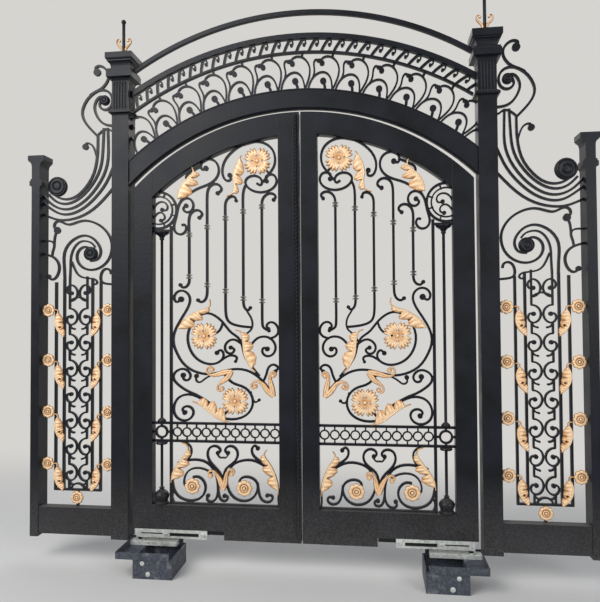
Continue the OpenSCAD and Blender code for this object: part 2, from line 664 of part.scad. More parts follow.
module top_scrolls() in_infill(leaf_top - 804, leaf_top) difference() {
  at_arch() union() {
    leaf_bar(top_ring, 14);
    leaf_bar(top_seat);
    leaf_bar(top_c, 13);
    leaf_bar(top_volute, 15);
    leaf_bar(top_curl, 12);
    leaf_bar(medallion_s, 13);
    leaf_bar(top_tie);
  }
  disc(med_x, med_z, med_r + 7, 0, post_w);
  box(strip_x - 60, strip_in, 0, post_w, band_top, strip_top + 5);
}
module left_top_scrolls() color(black) at_origin() top_scrolls();
module right_top_scrolls() color(black) at_origin() mirrored() top_scrolls();

// Middle scrolls of the leaf
stem = [[-173, 859], [-218, 909], [-255, 937], [-299, 958], [-349, 965], [-396, 961], [-444, 948],
  [-491, 938], [-533, 935], [-584, 945], [-632, 966], [-674, 1002], [-702, 1049], [-724, 1103],
  [-724, 1157], [-702, 1212],
  [-676, 1256], [-645, 1304], [-628, 1349], [-635, 1387], [-667, 1411], [-704, 1404], [-722, 1373],
  [-707, 1344], [-680, 1362]];
flower_ring = [[-225, 925], [-290, 1004], [-314, 1053], [-325, 1104], [-349, 1145], [-384, 1167],
  [-413, 1200], [-443, 1237], [-482, 1267], [-523, 1281], [-568, 1270], [-610, 1233], [-636, 1180],
  [-641, 1128], [-626, 1072], [-590, 1024], [-539, 997], [-488, 993], [-447, 1012], [-430, 1044],
  [-448, 1074], [-470, 1056]];
flower_seat = [[-435, 1228], [-452, 1185], [-490, 1160], [-542, 1151]];
side_shoot = [[-447, 1012], [-414, 1034], [-381, 1042], [-354, 1030], [-362, 1008]];
mid_volute = [[-310, 1092], [-363, 1131], [-402, 1122], [-424, 1093], [-414, 1060], [-384, 1052],
  [-368, 1076], [-390, 1086]];
right_volute = [[-314, 1054], [-261, 1115], [-231, 1141], [-187, 1147], [-150, 1127], [-132, 1087],
  [-148, 1048], [-183, 1037], [-209, 1059], [-201, 1086], [-180, 1078]];
right_curl = [[-170, 1136], [-130, 1150], [-116, 1184], [-132, 1218], [-161, 1229], [-184, 1211],
  [-176, 1190]];
tendril = [[-332, 1116], [-301, 1162], [-272, 1185], [-264, 1220], [-272, 1254], [-290, 1282], [-300, 1300]];
crook = [[-204, 896], [-185, 935], [-176, 972], [-147, 992], [-118, 974], [-134, 954]];
left_volute = [[-487, 754], [-551, 796], [-594, 819], [-642, 838], [-686, 866], [-724, 903], [-718, 942],
  [-676, 965], [-641, 953], [-624, 925], [-640, 899], [-666, 906], [-668, 928]];
big_volute = [[-520, 772], [-587, 809], [-636, 819], [-684, 808], [-715, 774], [-724, 727], [-706, 688],
  [-665, 670], [-626, 683], [-607, 716], [-621, 745], [-653, 752], [-674, 733], [-659, 716]];
small_volute = [[-470, 940], [-533, 916], [-565, 888], [-592, 898], [-590, 924]];
ring_2 = [[-508, 762], [-480, 714], [-440, 690], [-385, 682], [-333, 691], [-288, 719], [-265, 764],
  [-268, 809], [-291, 846], [-332, 872], [-385, 888], [-436, 948]];
ring_2_curl = [[-276, 840], [-265, 795], [-247, 779], [-228, 792]];
ring_2_seat = [[-440, 690], [-410, 730], [-363, 785]];

module middle_scrolls() in_infill(band_top + 7, leaf_top - 804) difference() {
  union() {
    leaf_bar(stem, 17);
    leaf_bar(flower_ring, 13);
    leaf_bar(flower_seat);
    leaf_bar(side_shoot, 9);
    leaf_bar(mid_volute, 12);
    leaf_bar(right_volute, 14);
    leaf_bar(right_curl, 13);
    leaf_bar(tendril, 0, fine_t);
    leaf_bar(crook, 11);
    leaf_bar(left_volute, 15);
    leaf_bar(big_volute, 14);
    leaf_bar(small_volute, 13, fine_t);
    leaf_bar(ring_2);
    leaf_bar(ring_2_curl, 9, fine_t);
    leaf_bar(ring_2_seat);
  }
  box(strip_x - 60, strip_in, 0, post_w, band_foot, strip_top + 5);
}
module left_middle_scrolls() color(black) at_origin() middle_scrolls();
module right_middle_scrolls() color(black) at_origin() mirrored() middle_scrolls();

// Upright bars, bent into crooks at both ends, with a pair of collars near each
bars_x = [-632, -526, -419, -316, -208];
collar_up = [1733, 1774, 1822, 1857, 1882];
collar_low = [1492, 1442, 1407, 1363, 1348];
collar_w = 32;
collar_h = 7;
collar_step = 8;
crooks_up = [
  [[-632, 1735], [-634, 1812], [-624, 1850], [-598, 1871], [-569, 1868], [-554, 1846], [-572, 1828]],
  [[-526, 1782], [-526, 1897], [-525, 1963], [-513, 2002], [-482, 2020], [-452, 2010], [-440, 1984],
    [-464, 1966]],
  [[-419, 1823], [-420, 1888], [-414, 1920], [-392, 1942], [-364, 1942], [-356, 1920]],
  [[-316, 1850], [-317, 1930], [-312, 1980], [-298, 2010]],
  [[-208, 1880], [-207, 1909], [-197, 1934], [-175, 1952], [-147, 1954], [-127, 1936], [-140, 1918]]];
crooks_low = [
  [[-632, 1492], [-632, 1462], [-644, 1438], [-668, 1428], [-684, 1444]],
  [[-526, 1442], [-527, 1390], [-538, 1358], [-562, 1344], [-580, 1356]],
  [[-419, 1407], [-419, 1300], [-410, 1246], [-381, 1220], [-330, 1206], [-268, 1200]],
  [[-316, 1363], [-315, 1330], [-306, 1306], [-288, 1296], [-276, 1310]],
  [[-208, 1348], [-208, 1230], [-200, 1198], [-170, 1180]]];
knobs_up = [11, 12, 10, 0, 11];
knobs_low = [11, 11, 0, 10, 10];

module pickets() difference() {
  in_infill(band_top + 7, leaf_top) for (i = [0:4]) {
    x = fit_x(bars_x[i]);
    upright(x, crooks_low[i][0][1] - 1, crooks_up[i][0][1] + 1 + arch_rise);
    at_arch() leaf_bar(crooks_up[i], knobs_up[i], picket_w);
    leaf_bar(crooks_low[i], knobs_low[i], picket_w);
    for (z = [collar_up[i] + arch_rise, collar_low[i]]) for (s = [-1, 1])
      translate([x, mid_y, z + s * collar_step - collar_h / 2]) cylinder(d = collar_w, h = collar_h);
  }
  top_scrolls();
  middle_scrolls();
  box(strip_x - 60, strip_in, 0, post_w, band_foot, strip_top + 5);
}
module left_pickets() color(black) at_origin() pickets();
module right_pickets() color(black) at_origin() mirrored() pickets();

// Band of rings between two rails
band_ring_r = 24;
band_ring_n = 11;
module ring_band() {
  for (z = [band_foot, band_top]) level(strip_in, -meet_in, z, 14);
  span = strip_x * -1 - 8 - meet_in;
  for (i = [0:band_ring_n - 1]) {
    x = strip_in + span * (i + 0.5) / band_ring_n;
    ring(x, (band_foot + band_top) / 2, band_ring_r, 8, 12);
    for (z = [band_foot + 6, band_top - 21]) level(x - 4, x + 4, z + 7.5, 15);
    if (i > 0) level(x - span / band_ring_n + band_ring_r, x - band_ring_r, (band_foot + band_top) / 2, 8);
  }
}
module left_ring_band() color(black) at_origin() ring_band();
module right_ring_band() color(black) at_origin() mirrored() ring_band();

// Lower scrolls of the leaf: heart, arcs and the two circles
heart_left = [[-437, 320], [-445, 362], [-470, 399], [-504, 432], [-525, 472], [-519, 512], [-492, 530],
  [-462, 524], [-450, 502], [-466, 492]];
heart_right = [[-437, 320], [-428, 388], [-404, 418], [-373, 442], [-352, 476], [-358, 513], [-386, 532],
  [-415, 524], [-424, 503], [-408, 492]];
heart_crown = [[-468, 482], [-452, 464], [-437, 468], [-422, 464], [-406, 482]];
arc_left = [[-700, 430], [-660, 440], [-635, 447], [-597, 451], [-549, 445], [-509, 421], [-480, 381],
  [-468, 330], [-466, 279], [-475, 238], [-503, 216], [-530, 228], [-524, 250]];
arc_inner = [[-500, 378], [-546, 400], [-594, 404], [-636, 388], [-660, 348], [-658, 300], [-612, 303]];
circle_left = [[-745, 360], [-732, 330], [-724, 282], [-694, 240], [-642, 221], [-591, 225], [-552, 252],
  [-537, 297], [-552, 336], [-582, 356], [-612, 352]];
arc_right = [[-420, 330], [-407, 380], [-383, 423], [-342, 447], [-294, 456], [-246, 450], [-190, 420]];
circle_right = [[-425, 372], [-419, 348], [-411, 303], [-390, 261], [-358, 236], [-317, 227], [-273, 240],
  [-244, 277], [-238, 320], [-259, 350], [-299, 363], [-336, 350], [-340, 318], [-313, 300]];
low_right = [[-238, 330], [-229, 266], [-210, 234], [-178, 225], [-154, 242], [-160, 264], [-184, 262]];
low_centre = [[-466, 300], [-460, 254], [-444, 226], [-416, 226], [-410, 248], [-428, 252]];
s_right = [[-190, 430], [-243, 464], [-266, 489], [-270, 521], [-252, 538], [-236, 522]];
s_left = [[-690, 555], [-635, 537], [-620, 501], [-629, 464], [-664, 425]];
low_left = [[-720, 280], [-735, 240], [-722, 206]];
low_end = [[-117, 300], [-122, 250], [-118, 206]];

module lower_scrolls() intersection() {
  union() {
    leaf_bar(heart_left, 12);
    leaf_bar(heart_right, 12);
    leaf_bar(heart_crown, 0, 8);
    leaf_bar(arc_left, 12);
    leaf_bar(arc_inner, 0, fine_t);
    leaf_bar(circle_left);
    leaf_bar(arc_right);
    leaf_bar(circle_right);
    leaf_bar(low_right, 11);
    leaf_bar(low_centre, 12);
    leaf_bar(s_right, 12);
    leaf_bar(s_left, 0, fine_t);
    leaf_bar(low_left, 0, fine_t);
    leaf_bar(low_end, 0, fine_t);
  }
  box(strip_in, -meet_in, 0, post_w, rail_top + 12, band_foot - 7);
}
module left_lower_scrolls() color(black) at_origin() lower_scrolls();
module right_lower_scrolls() color(black) at_origin() mirrored() lower_scrolls();

// Gilding of a leaf: flowers, rosettes, lobed leaves, double curl and V ornaments
leaf_top_left = [[[-697, 1939], [-690, 1978], [-668, 2021], [-635, 2056], [-610, 2081], [-603, 2092]],
  [[-613, 1965], [-574, 2019], [-566, 2072]],
  [[-694, 1941], [-639, 2010], [-612, 2053], [-598, 2090]], [0, 5]];
leaf_top_mid = [[[-409, 1946], [-381, 1955], [-367, 1974], [-363, 2016], [-368, 2054], [-361, 2098],
    [-344, 2136], [-323, 2175]],
  [[-338, 1969], [-312, 2019], [-308, 2080]],
  [[-367, 1961], [-354, 2014], [-344, 2068], [-320, 2170]], [2, 7]];
leaf_mid_left = [[[-695, 1194], [-669, 1231], [-626, 1266], [-577, 1290], [-527, 1306], [-507, 1328],
    [-509, 1361]],
  [[-606, 1203], [-552, 1242], [-514, 1288]],
  [[-691, 1193], [-619, 1244], [-569, 1275], [-510, 1310]], [0, 5]];
leaf_mid_right = [[[-246, 949], [-272, 975], [-294, 1014], [-309, 1054], [-314, 1100], [-320, 1145],
    [-333, 1176], [-359, 1185]],
  [[-240, 1034], [-257, 1097], [-280, 1152]],
  [[-255, 960], [-284, 1067], [-292, 1122], [-315, 1172]], [0, 6]];
leaf_mid_low = [[[-396, 665], [-454, 683], [-505, 721], [-558, 759], [-611, 781]],
  [[-437, 746], [-484, 783], [-543, 803]],
  [[-410, 673], [-469, 724], [-517, 760], [-584, 779]], [0, 4]];
leaf_low_left = [[[-737, 321], [-727, 373], [-697, 422], [-659, 472], [-638, 508], [-645, 535], [-674, 548]],
  [[-661, 365], [-628, 424], [-621, 479]],
  [[-733, 328], [-691, 400], [-659, 451], [-634, 510]], [0, 4]];
leaf_low_right = [[[-119, 270], [-122, 321], [-140, 382], [-167, 436], [-193, 473], [-197, 498], [-184, 516]],
  [[-182, 331], [-211, 405], [-222, 465]],
  [[-122, 280], [-158, 366], [-183, 425], [-197, 489]], [0, 4]];
double_curl = [[-512, 962], [-500, 940], [-444, 952], [-388, 962]];
double_tail = [[-394, 958], [-420, 915], [-455, 885], [-464, 856], [-447, 845]];
vee_left = [[-151, 813], [-174, 845], [-209, 880], [-240, 895], [-262, 881]];
vee_right = [[-151, 813], [-160, 859], [-172, 900], [-170, 932], [-148, 938]];
low_vee_left = [[-434, 288], [-447, 331], [-466, 368], [-488, 392], [-510, 380]];
low_vee_right = [[-434, 288], [-421, 332], [-416, 380], [-404, 410], [-383, 410]];

// Curled casting: a bar that swells and tapers along a path, with a round end
function half_width(i, n, t) = t * (0.25 + 0.75 * sin(180 * (i + 2) / (n + 3))) / 2;
module curled(path, knob, t) {
  run = curve(path);
  n = len(run) - 1;
  end = path[len(path) - 1];
  plate(concat([for (i = [0:n]) beside(run[i], half_width(i, n, t))],
    reversed([for (i = [0:n]) beside(run[i], -half_width(i, n, t))])), gold_front, bar_front);
  if (knob > 0) disc(end[0], end[1], knob, gold_front, bar_front);
}

module fitted_leaf(leaf) lobed_leaf([fitted(leaf[0]), fitted(leaf[1]), fitted(leaf[2]), leaf[3]]);

module gilding() {
  at_arch() {
    for (p = fitted([[-231, 2139]])) flower(p);
    for (leaf = [leaf_top_left, leaf_top_mid]) fitted_leaf(leaf);
  }
  for (p = fitted([[-542, 1151], [-363, 785]])) flower(p);
  for (p = fitted([[-612, 303], [-313, 300]])) rosette(p, 46);
  for (leaf = [leaf_mid_left, leaf_mid_right, leaf_mid_low, leaf_low_left, leaf_low_right])
    fitted_leaf(leaf);
  curled(fitted(double_curl), 17, 26);
  curled(fitted(double_tail), 17, 26);
  curled(fitted(vee_left), 16, 26);
  curled(fitted(vee_right), 16, 26);
  curled(fitted(low_vee_left), 17, 28);
  curled(fitted(low_vee_right), 17, 28);
}
module left_gilding() color(gold) at_origin() gilding();
module right_gilding() color(gold) at_origin() mirrored() gilding();

// Lever shoe under the leaf, on the pin that turns in the seat
module pivot_lever() {
  difference() {
    framed(-pin_x - 18, -shoe_end, leaf_clear, notch_z);
    box(12 - pin_x, 138 - pin_x, leaf_front - 1, leaf_front + 5, leaf_clear + 20, leaf_clear + 28);
    box(178 - pin_x, 348 - pin_x, leaf_front - 1, leaf_front + 8, leaf_clear + 10, leaf_clear + 30);
  }
  box(-shoe_end, -tongue_end, leaf_front + 10, leaf_back - 10, leaf_clear + 24, leaf_clear + 44);
  translate([-pin_x, mid_y, ledge_z + 6]) cylinder(r = pin_r, h = leaf_clear + 4 - ledge_z - 6);
}
module left_pivot_lever() color(zinc) at_origin() pivot_lever();
module right_pivot_lever() color(zinc) at_origin() mirrored() pivot_lever();

left_main_post();
right_main_post();
left_outer_post();
right_outer_post();
arch_beam();
frieze_scrolls();
wave_band();
top_arch_bar();
finial_rods();
finial_leaves();
left_side_rail();
right_side_rail();
left_lattice();
right_lattice();
left_side_scrolls();
right_side_scrolls();
left_side_gilding();
right_side_gilding();
left_foundation_box();
right_foundation_box();
left_pivot_seat();
right_pivot_seat();
left_hinge_stile();
left_meeting_stile();
left_top_rail();
left_bottom_rail();
left_column();
left_medallion();
left_pickets();
left_top_scrolls();
left_middle_scrolls();
left_ring_band();
left_lower_scrolls();
left_gilding();
left_pivot_lever();
right_hinge_stile();
right_meeting_stile();
right_top_rail();
right_bottom_rail();
right_column();
right_medallion();
right_pickets();
right_top_scrolls();
right_middle_scrolls();
right_ring_band();
right_lower_scrolls();
right_gilding();
right_pivot_lever();
meeting_strip();
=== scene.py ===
# Wrought iron driveway gate: paint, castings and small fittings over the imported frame
import math
import bmesh
import bpy
from mathutils import Matrix, Vector


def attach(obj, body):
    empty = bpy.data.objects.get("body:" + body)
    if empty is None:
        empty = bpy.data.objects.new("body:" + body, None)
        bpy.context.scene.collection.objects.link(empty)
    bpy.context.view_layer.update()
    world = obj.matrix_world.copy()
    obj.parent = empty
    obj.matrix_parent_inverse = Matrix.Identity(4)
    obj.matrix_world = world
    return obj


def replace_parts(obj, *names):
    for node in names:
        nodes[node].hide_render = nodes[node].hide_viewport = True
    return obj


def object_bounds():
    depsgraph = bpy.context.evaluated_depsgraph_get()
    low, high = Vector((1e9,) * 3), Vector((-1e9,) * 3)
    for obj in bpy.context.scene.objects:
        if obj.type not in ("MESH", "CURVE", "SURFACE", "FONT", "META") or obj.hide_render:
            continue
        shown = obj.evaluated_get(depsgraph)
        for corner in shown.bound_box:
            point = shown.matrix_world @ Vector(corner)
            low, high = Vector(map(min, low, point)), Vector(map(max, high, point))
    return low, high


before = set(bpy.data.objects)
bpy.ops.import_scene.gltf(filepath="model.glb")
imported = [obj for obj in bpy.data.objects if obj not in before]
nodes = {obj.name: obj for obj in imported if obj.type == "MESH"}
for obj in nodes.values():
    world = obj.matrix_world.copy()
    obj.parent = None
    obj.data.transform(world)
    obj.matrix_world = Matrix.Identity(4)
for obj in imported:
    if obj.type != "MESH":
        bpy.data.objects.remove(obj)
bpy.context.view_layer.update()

print("frame loaded:", len(nodes), "nodes")

# The gate's own drawing in mm: x from its middle, y back from the posts' fronts, z from the ground
gate = {
    "middle": 1028.0,
    "barMiddle": 50.0,
    "barFront": 42.0,
    "leafFront": 20.0,
    "postTop": 2787.0,
}
halves = ((-1, "left"), (1, "right"))  # the left half as drawn, the right half turned over


def place(x, y, z, side=-1):
    # Gate mm to the frame's metres
    x = x if side < 0 else -x
    return ((x + gate["middle"]) / 1000, (y - gate["barMiddle"]) / 1000, z / 1000)


def linearColour(text):
    # sRGB hex to linear, with the alpha that sockets want
    parts = [int(text[i:i + 2], 16) / 255 for i in (1, 3, 5)]
    linear = [v / 12.92 if v <= 0.04045 else ((v + 0.055) / 1.055) ** 2.4 for v in parts]
    return (*linear, 1.0)


def addNode(tree, kind, settings=None, links=None):
    # Settings are the node's own or its sockets', by name or number; links bring other sockets in
    node = tree.nodes.new(kind)
    for key, value in (settings or {}).items():
        if isinstance(key, int) or key in node.inputs:
            node.inputs[key].default_value = value
        else:
            setattr(node, key, value)
    for key, source in (links or {}).items():
        tree.links.new(source, node.inputs[key])
    return node


def startMaterial(name):
    # An empty material and its node tree
    material = bpy.data.materials.new(name)
    material.use_nodes = True
    material.node_tree.nodes.clear()
    return material, material.node_tree


# Alkyd gloss enamel brushed over forged and rolled iron. It gives a near black with a blue cast,
# soft reflections that waver with the forged face, and grey site dust where dust settles.
enamel = {
    "deep": "#05070C",
    "film": "#10141E",
    "dust": "#85817C",
    "rubbed": "#565B63",
    "barRoughness": 0.34,
    "sectionRoughness": 0.38,
    "specular": 0.24,
    "cloudMm": 180.0,
    "speckMm": 9.0,
    "forgeMm": 26.0,
    "forgeDeepMm": 0.6,
    "brushMm": 4.0,  # real marks are about 1 mm wide, drawn coarser so that they show
    "brushDeepMm": 0.12,
    "brushSquash": 0.06,  # width of a mark over its length
    "rubbedShare": 0.45,  # how far a rubbed speck takes on its colour
    "dustOnTop": 0.5,
    "dustAtFoot": 0.34,
    "dustFrom": -0.12,  # metres, the lowest and highest that dust is splashed
    "dustTo": 0.42,
}


def brushedEnamel(name, roughness, dusty):
    material, tree = startMaterial(name)
    where = addNode(tree, "ShaderNodeTexCoord").outputs["Object"]
    cloud = addNode(tree, "ShaderNodeTexNoise", {"Scale": 1000 / enamel["cloudMm"], "Detail": 4.0},
                    {"Vector": where}).outputs["Fac"]
    forge = addNode(tree, "ShaderNodeTexNoise", {"Scale": 1000 / enamel["forgeMm"], "Detail": 2.0},
                    {"Vector": where}).outputs["Fac"]
    speck = addNode(tree, "ShaderNodeTexNoise", {"Scale": 1000 / enamel["speckMm"], "Detail": 5.0,
                                                 "Roughness": 0.65},
                    {"Vector": where}).outputs["Fac"]
    # brush marks run up and down, far longer than they are wide
    stretched = addNode(tree, "ShaderNodeMapping", {"Scale": (1.0, 1.0, enamel["brushSquash"])},
                        {"Vector": where}).outputs[0]
    brush = addNode(tree, "ShaderNodeTexNoise", {"Scale": 1000 / enamel["brushMm"], "Detail": 2.0},
                    {"Vector": stretched}).outputs["Fac"]
    # the film lies in thicker and thinner clouds and is rubbed through in specks
    film = addNode(tree, "ShaderNodeMapRange", {"From Min": 0.35, "From Max": 0.66},
                   {"Value": cloud}).outputs[0]
    colour = addNode(tree, "ShaderNodeMix", {"data_type": "RGBA", 6: linearColour(enamel["deep"]),
                                             7: linearColour(enamel["film"])}, {0: film}).outputs[2]
    worn = addNode(tree, "ShaderNodeMapRange", {"From Min": 0.70, "From Max": 0.78,
                                                "To Max": enamel["rubbedShare"]},
                   {"Value": speck}).outputs[0]
    colour = addNode(tree, "ShaderNodeMix", {"data_type": "RGBA",
                                             7: linearColour(enamel["rubbed"])},
                     {0: worn, 6: colour}).outputs[2]
    # dust lies on what faces up and thins out above the ground
    facing = addNode(tree, "ShaderNodeNewGeometry").outputs["Normal"]
    up = addNode(tree, "ShaderNodeSeparateXYZ", {}, {0: facing}).outputs["Z"]
    height = addNode(tree, "ShaderNodeSeparateXYZ", {}, {0: where}).outputs["Z"]
    settled = addNode(tree, "ShaderNodeMapRange", {"From Min": 0.45, "From Max": 0.95,
                                                   "To Max": enamel["dustOnTop"] * dusty},
                      {"Value": up}).outputs[0]
    splashed = addNode(tree, "ShaderNodeMapRange", {"From Min": enamel["dustTo"],
                                                    "From Max": enamel["dustFrom"],
                                                    "To Max": enamel["dustAtFoot"] * dusty},
                       {"Value": height}).outputs[0]
    broken = addNode(tree, "ShaderNodeMapRange", {"From Min": 0.36, "From Max": 0.64,
                                                  "To Min": 0.3},
                     {"Value": speck}).outputs[0]
    lying = addNode(tree, "ShaderNodeMath", {"operation": "MAXIMUM"},
                    {0: settled, 1: splashed}).outputs[0]
    dust = addNode(tree, "ShaderNodeMath", {"operation": "MULTIPLY"},
                   {0: lying, 1: broken}).outputs[0]
    colour = addNode(tree, "ShaderNodeMix", {"data_type": "RGBA", 7: linearColour(enamel["dust"])},
                     {0: dust, 6: colour}).outputs[2]
    # gloss wavers with the clouds and dies under dust
    sheen = addNode(tree, "ShaderNodeMapRange", {"From Min": 0.3, "From Max": 0.7,
                                                 "To Min": roughness - 0.05,
                                                 "To Max": roughness + 0.10},
                    {"Value": cloud}).outputs[0]
    dulled = addNode(tree, "ShaderNodeMapRange", {"From Max": 0.4, "To Min": 0.0, "To Max": 0.75},
                     {"Value": dust}).outputs[0]
    rough = addNode(tree, "ShaderNodeMath", {"operation": "MAXIMUM"},
                    {0: sheen, 1: dulled}).outputs[0]
    hammered = addNode(tree, "ShaderNodeBump", {"Distance": enamel["forgeDeepMm"] / 1000},
                       {"Height": forge}).outputs[0]
    surface = addNode(tree, "ShaderNodeBump", {"Distance": enamel["brushDeepMm"] / 1000},
                      {"Height": brush, "Normal": hammered}).outputs[0]
    shader = addNode(tree, "ShaderNodeBsdfPrincipled", {"IOR": 1.5,
                                                        "Specular IOR Level": enamel["specular"]},
                     {"Base Color": colour, "Roughness": rough, "Normal": surface}).outputs[0]
    addNode(tree, "ShaderNodeOutputMaterial", {}, {0: shader})
    return material


# Gold bronze paint dabbed on sand cast iron. It gives a warm tan of its own on the flanks, a painted
# highlight of pale peach on the crowns, painted shade in brown where the relief sinks, and a
# slightly metallic, uneven sheen.
gold = {
    # crown is a painted highlight and hollow a painted shade; flank is the paint's own colour
    "crown": "#F6D6AC",
    "flank": "#D6A06A",
    "hollow": "#4E3018",
    "metallic": 0.15,
    "roughness": (0.34, 0.55),
    "castMm": 2.4,  # sand grain is about 0.5 mm, drawn coarser so that it shows
    "castDeepMm": 0.2,
    "dabMm": 22.0,
    "dabShift": 0.12,
    "backRelief": 0.42,  # backs are painted like the flanks
}


def goldBronzePaint():
    material, tree = startMaterial("gold bronze paint on sand cast iron")
    where = addNode(tree, "ShaderNodeTexCoord").outputs["Object"]
    relief = addNode(tree, "ShaderNodeAttribute", {"attribute_name": "relief"}).outputs["Fac"]
    dabs = addNode(tree, "ShaderNodeTexNoise", {"Scale": 1000 / gold["dabMm"], "Detail": 3.0},
                   {"Vector": where}).outputs["Fac"]
    grain = addNode(tree, "ShaderNodeTexNoise", {"Scale": 1000 / gold["castMm"], "Detail": 4.0,
                                                 "Roughness": 0.7},
                    {"Vector": where}).outputs["Fac"]
    # dabs shift where one tone gives way to the next
    uneven = addNode(tree, "ShaderNodeMapRange", {"From Min": 0.3, "From Max": 0.7,
                                                  "To Min": -gold["dabShift"],
                                                  "To Max": gold["dabShift"]},
                     {"Value": dabs}).outputs[0]
    lifted = addNode(tree, "ShaderNodeMath", {"operation": "ADD"},
                     {0: relief, 1: uneven}).outputs[0]
    # painted shade: the hollow colour where the relief sinks, brightening to the flank colour
    sunk = addNode(tree, "ShaderNodeMapRange", {"From Min": 0.0, "From Max": 0.46},
                   {"Value": lifted}).outputs[0]
    colour = addNode(tree, "ShaderNodeMix", {"data_type": "RGBA", 6: linearColour(gold["hollow"]),
                                             7: linearColour(gold["flank"])}, {0: sunk}).outputs[2]
    # painted highlight: the crown colour where the relief rises
    raised = addNode(tree, "ShaderNodeMapRange", {"From Min": 0.44, "From Max": 0.95},
                     {"Value": lifted}).outputs[0]
    colour = addNode(tree, "ShaderNodeMix", {"data_type": "RGBA", 7: linearColour(gold["crown"])},
                     {0: raised, 6: colour}).outputs[2]
    pitted = addNode(tree, "ShaderNodeMapRange", {"From Min": 0.66, "From Max": 0.8, "To Max": 0.4},
                     {"Value": grain}).outputs[0]
    colour = addNode(tree, "ShaderNodeMix", {"data_type": "RGBA", 7: linearColour(gold["hollow"])},
                     {0: pitted, 6: colour}).outputs[2]
    smooth, coarse = gold["roughness"]
    rough = addNode(tree, "ShaderNodeMapRange", {"From Min": 0.3, "From Max": 0.7, "To Min": smooth,
                                                 "To Max": coarse}, {"Value": dabs}).outputs[0]
    cast = addNode(tree, "ShaderNodeBump", {"Distance": gold["castDeepMm"] / 1000},
                   {"Height": grain}).outputs[0]
    shader = addNode(tree, "ShaderNodeBsdfPrincipled", {"Metallic": gold["metallic"], "IOR": 1.5},
                     {"Base Color": colour, "Roughness": rough, "Normal": cast}).outputs[0]
    addNode(tree, "ShaderNodeOutputMaterial", {}, {0: shader})
    return material


# Hot dip galvanised steel, a season old. It gives a pale dull grey with a spangle of crystals,
# darker runs of grime and a broad soft shine.
zinc = {
    "bright": "#D9DAD3",
    "dull": "#B9BDB6",
    "grime": "#6B675E",
    "sunk": "#0C0E10",
    "sunkFrom": 24.0,  # gate mm: fronts that lie deeper than this are darkened to the sunk colour as painted shade
    "metallic": 0.3,  # white rust hides most of the metal
    "roughness": (0.40, 0.58),
    "spangleMm": 12.0,
    "runMm": 40.0,
    "runDeepMm": 0.3,
}


def galvanisedSteel():
    material, tree = startMaterial("hot dip galvanised steel")
    where = addNode(tree, "ShaderNodeTexCoord").outputs["Object"]
    crystals = addNode(tree, "ShaderNodeTexVoronoi", {"Scale": 1000 / zinc["spangleMm"]},
                       {"Vector": where}).outputs["Color"]
    crystal = addNode(tree, "ShaderNodeSeparateXYZ", {}, {0: crystals}).outputs["X"]
    runs = addNode(tree, "ShaderNodeTexNoise", {"Scale": 1000 / zinc["runMm"], "Detail": 5.0},
                   {"Vector": where}).outputs["Fac"]
    colour = addNode(tree, "ShaderNodeMix", {"data_type": "RGBA", 6: linearColour(zinc["dull"]),
                                             7: linearColour(zinc["bright"])},
                     {0: crystal}).outputs[2]
    grime = addNode(tree, "ShaderNodeMapRange", {"From Min": 0.58, "From Max": 0.72, "To Max": 0.5},
                    {"Value": runs}).outputs[0]
    colour = addNode(tree, "ShaderNodeMix", {"data_type": "RGBA", 7: linearColour(zinc["grime"])},
                     {0: grime, 6: colour}).outputs[2]
    # fronts that lie deeper, such as the insides of the lever's slots, are darkened as painted shade
    facing = addNode(tree, "ShaderNodeNewGeometry").outputs["Normal"]
    forward = addNode(tree, "ShaderNodeSeparateXYZ", {}, {0: facing}).outputs["Y"]
    front = addNode(tree, "ShaderNodeMapRange", {"From Min": -0.5, "From Max": -0.9},
                    {"Value": forward}).outputs[0]
    depth = addNode(tree, "ShaderNodeSeparateXYZ", {}, {0: where}).outputs["Y"]
    sunkAt = (zinc["sunkFrom"] - gate["barMiddle"]) / 1000
    behind = addNode(tree, "ShaderNodeMath", {"operation": "GREATER_THAN", 1: sunkAt},
                     {0: depth}).outputs[0]
    slotShade = addNode(tree, "ShaderNodeMath", {"operation": "MULTIPLY"},
                      {0: front, 1: behind}).outputs[0]
    colour = addNode(tree, "ShaderNodeMix", {"data_type": "RGBA", 7: linearColour(zinc["sunk"])},
                     {0: slotShade, 6: colour}).outputs[2]
    smooth, coarse = zinc["roughness"]
    rough = addNode(tree, "ShaderNodeMapRange", {"To Min": smooth, "To Max": coarse},
                    {"Value": crystal}).outputs[0]
    skin = addNode(tree, "ShaderNodeBump", {"Distance": zinc["runDeepMm"] / 1000},
                   {"Height": runs}).outputs[0]
    shader = addNode(tree, "ShaderNodeBsdfPrincipled", {"Metallic": zinc["metallic"]},
                     {"Base Color": colour, "Roughness": rough, "Normal": skin}).outputs[0]
    addNode(tree, "ShaderNodeOutputMaterial", {}, {0: shader})
    return material


# Black paint on folded steel plate that has stood in paving work. It gives a dull black under
# scrapes and pale smears of dried cement.
boxPaint = {
    "paint": "#353942",
    "scrape": "#5D626B",
    "cement": "#9A979A",
    "roughness": (0.45, 0.9),
    "smearMm": 60.0,
    "smearDeepMm": 0.4,
    "scrapeMm": 14.0,
}


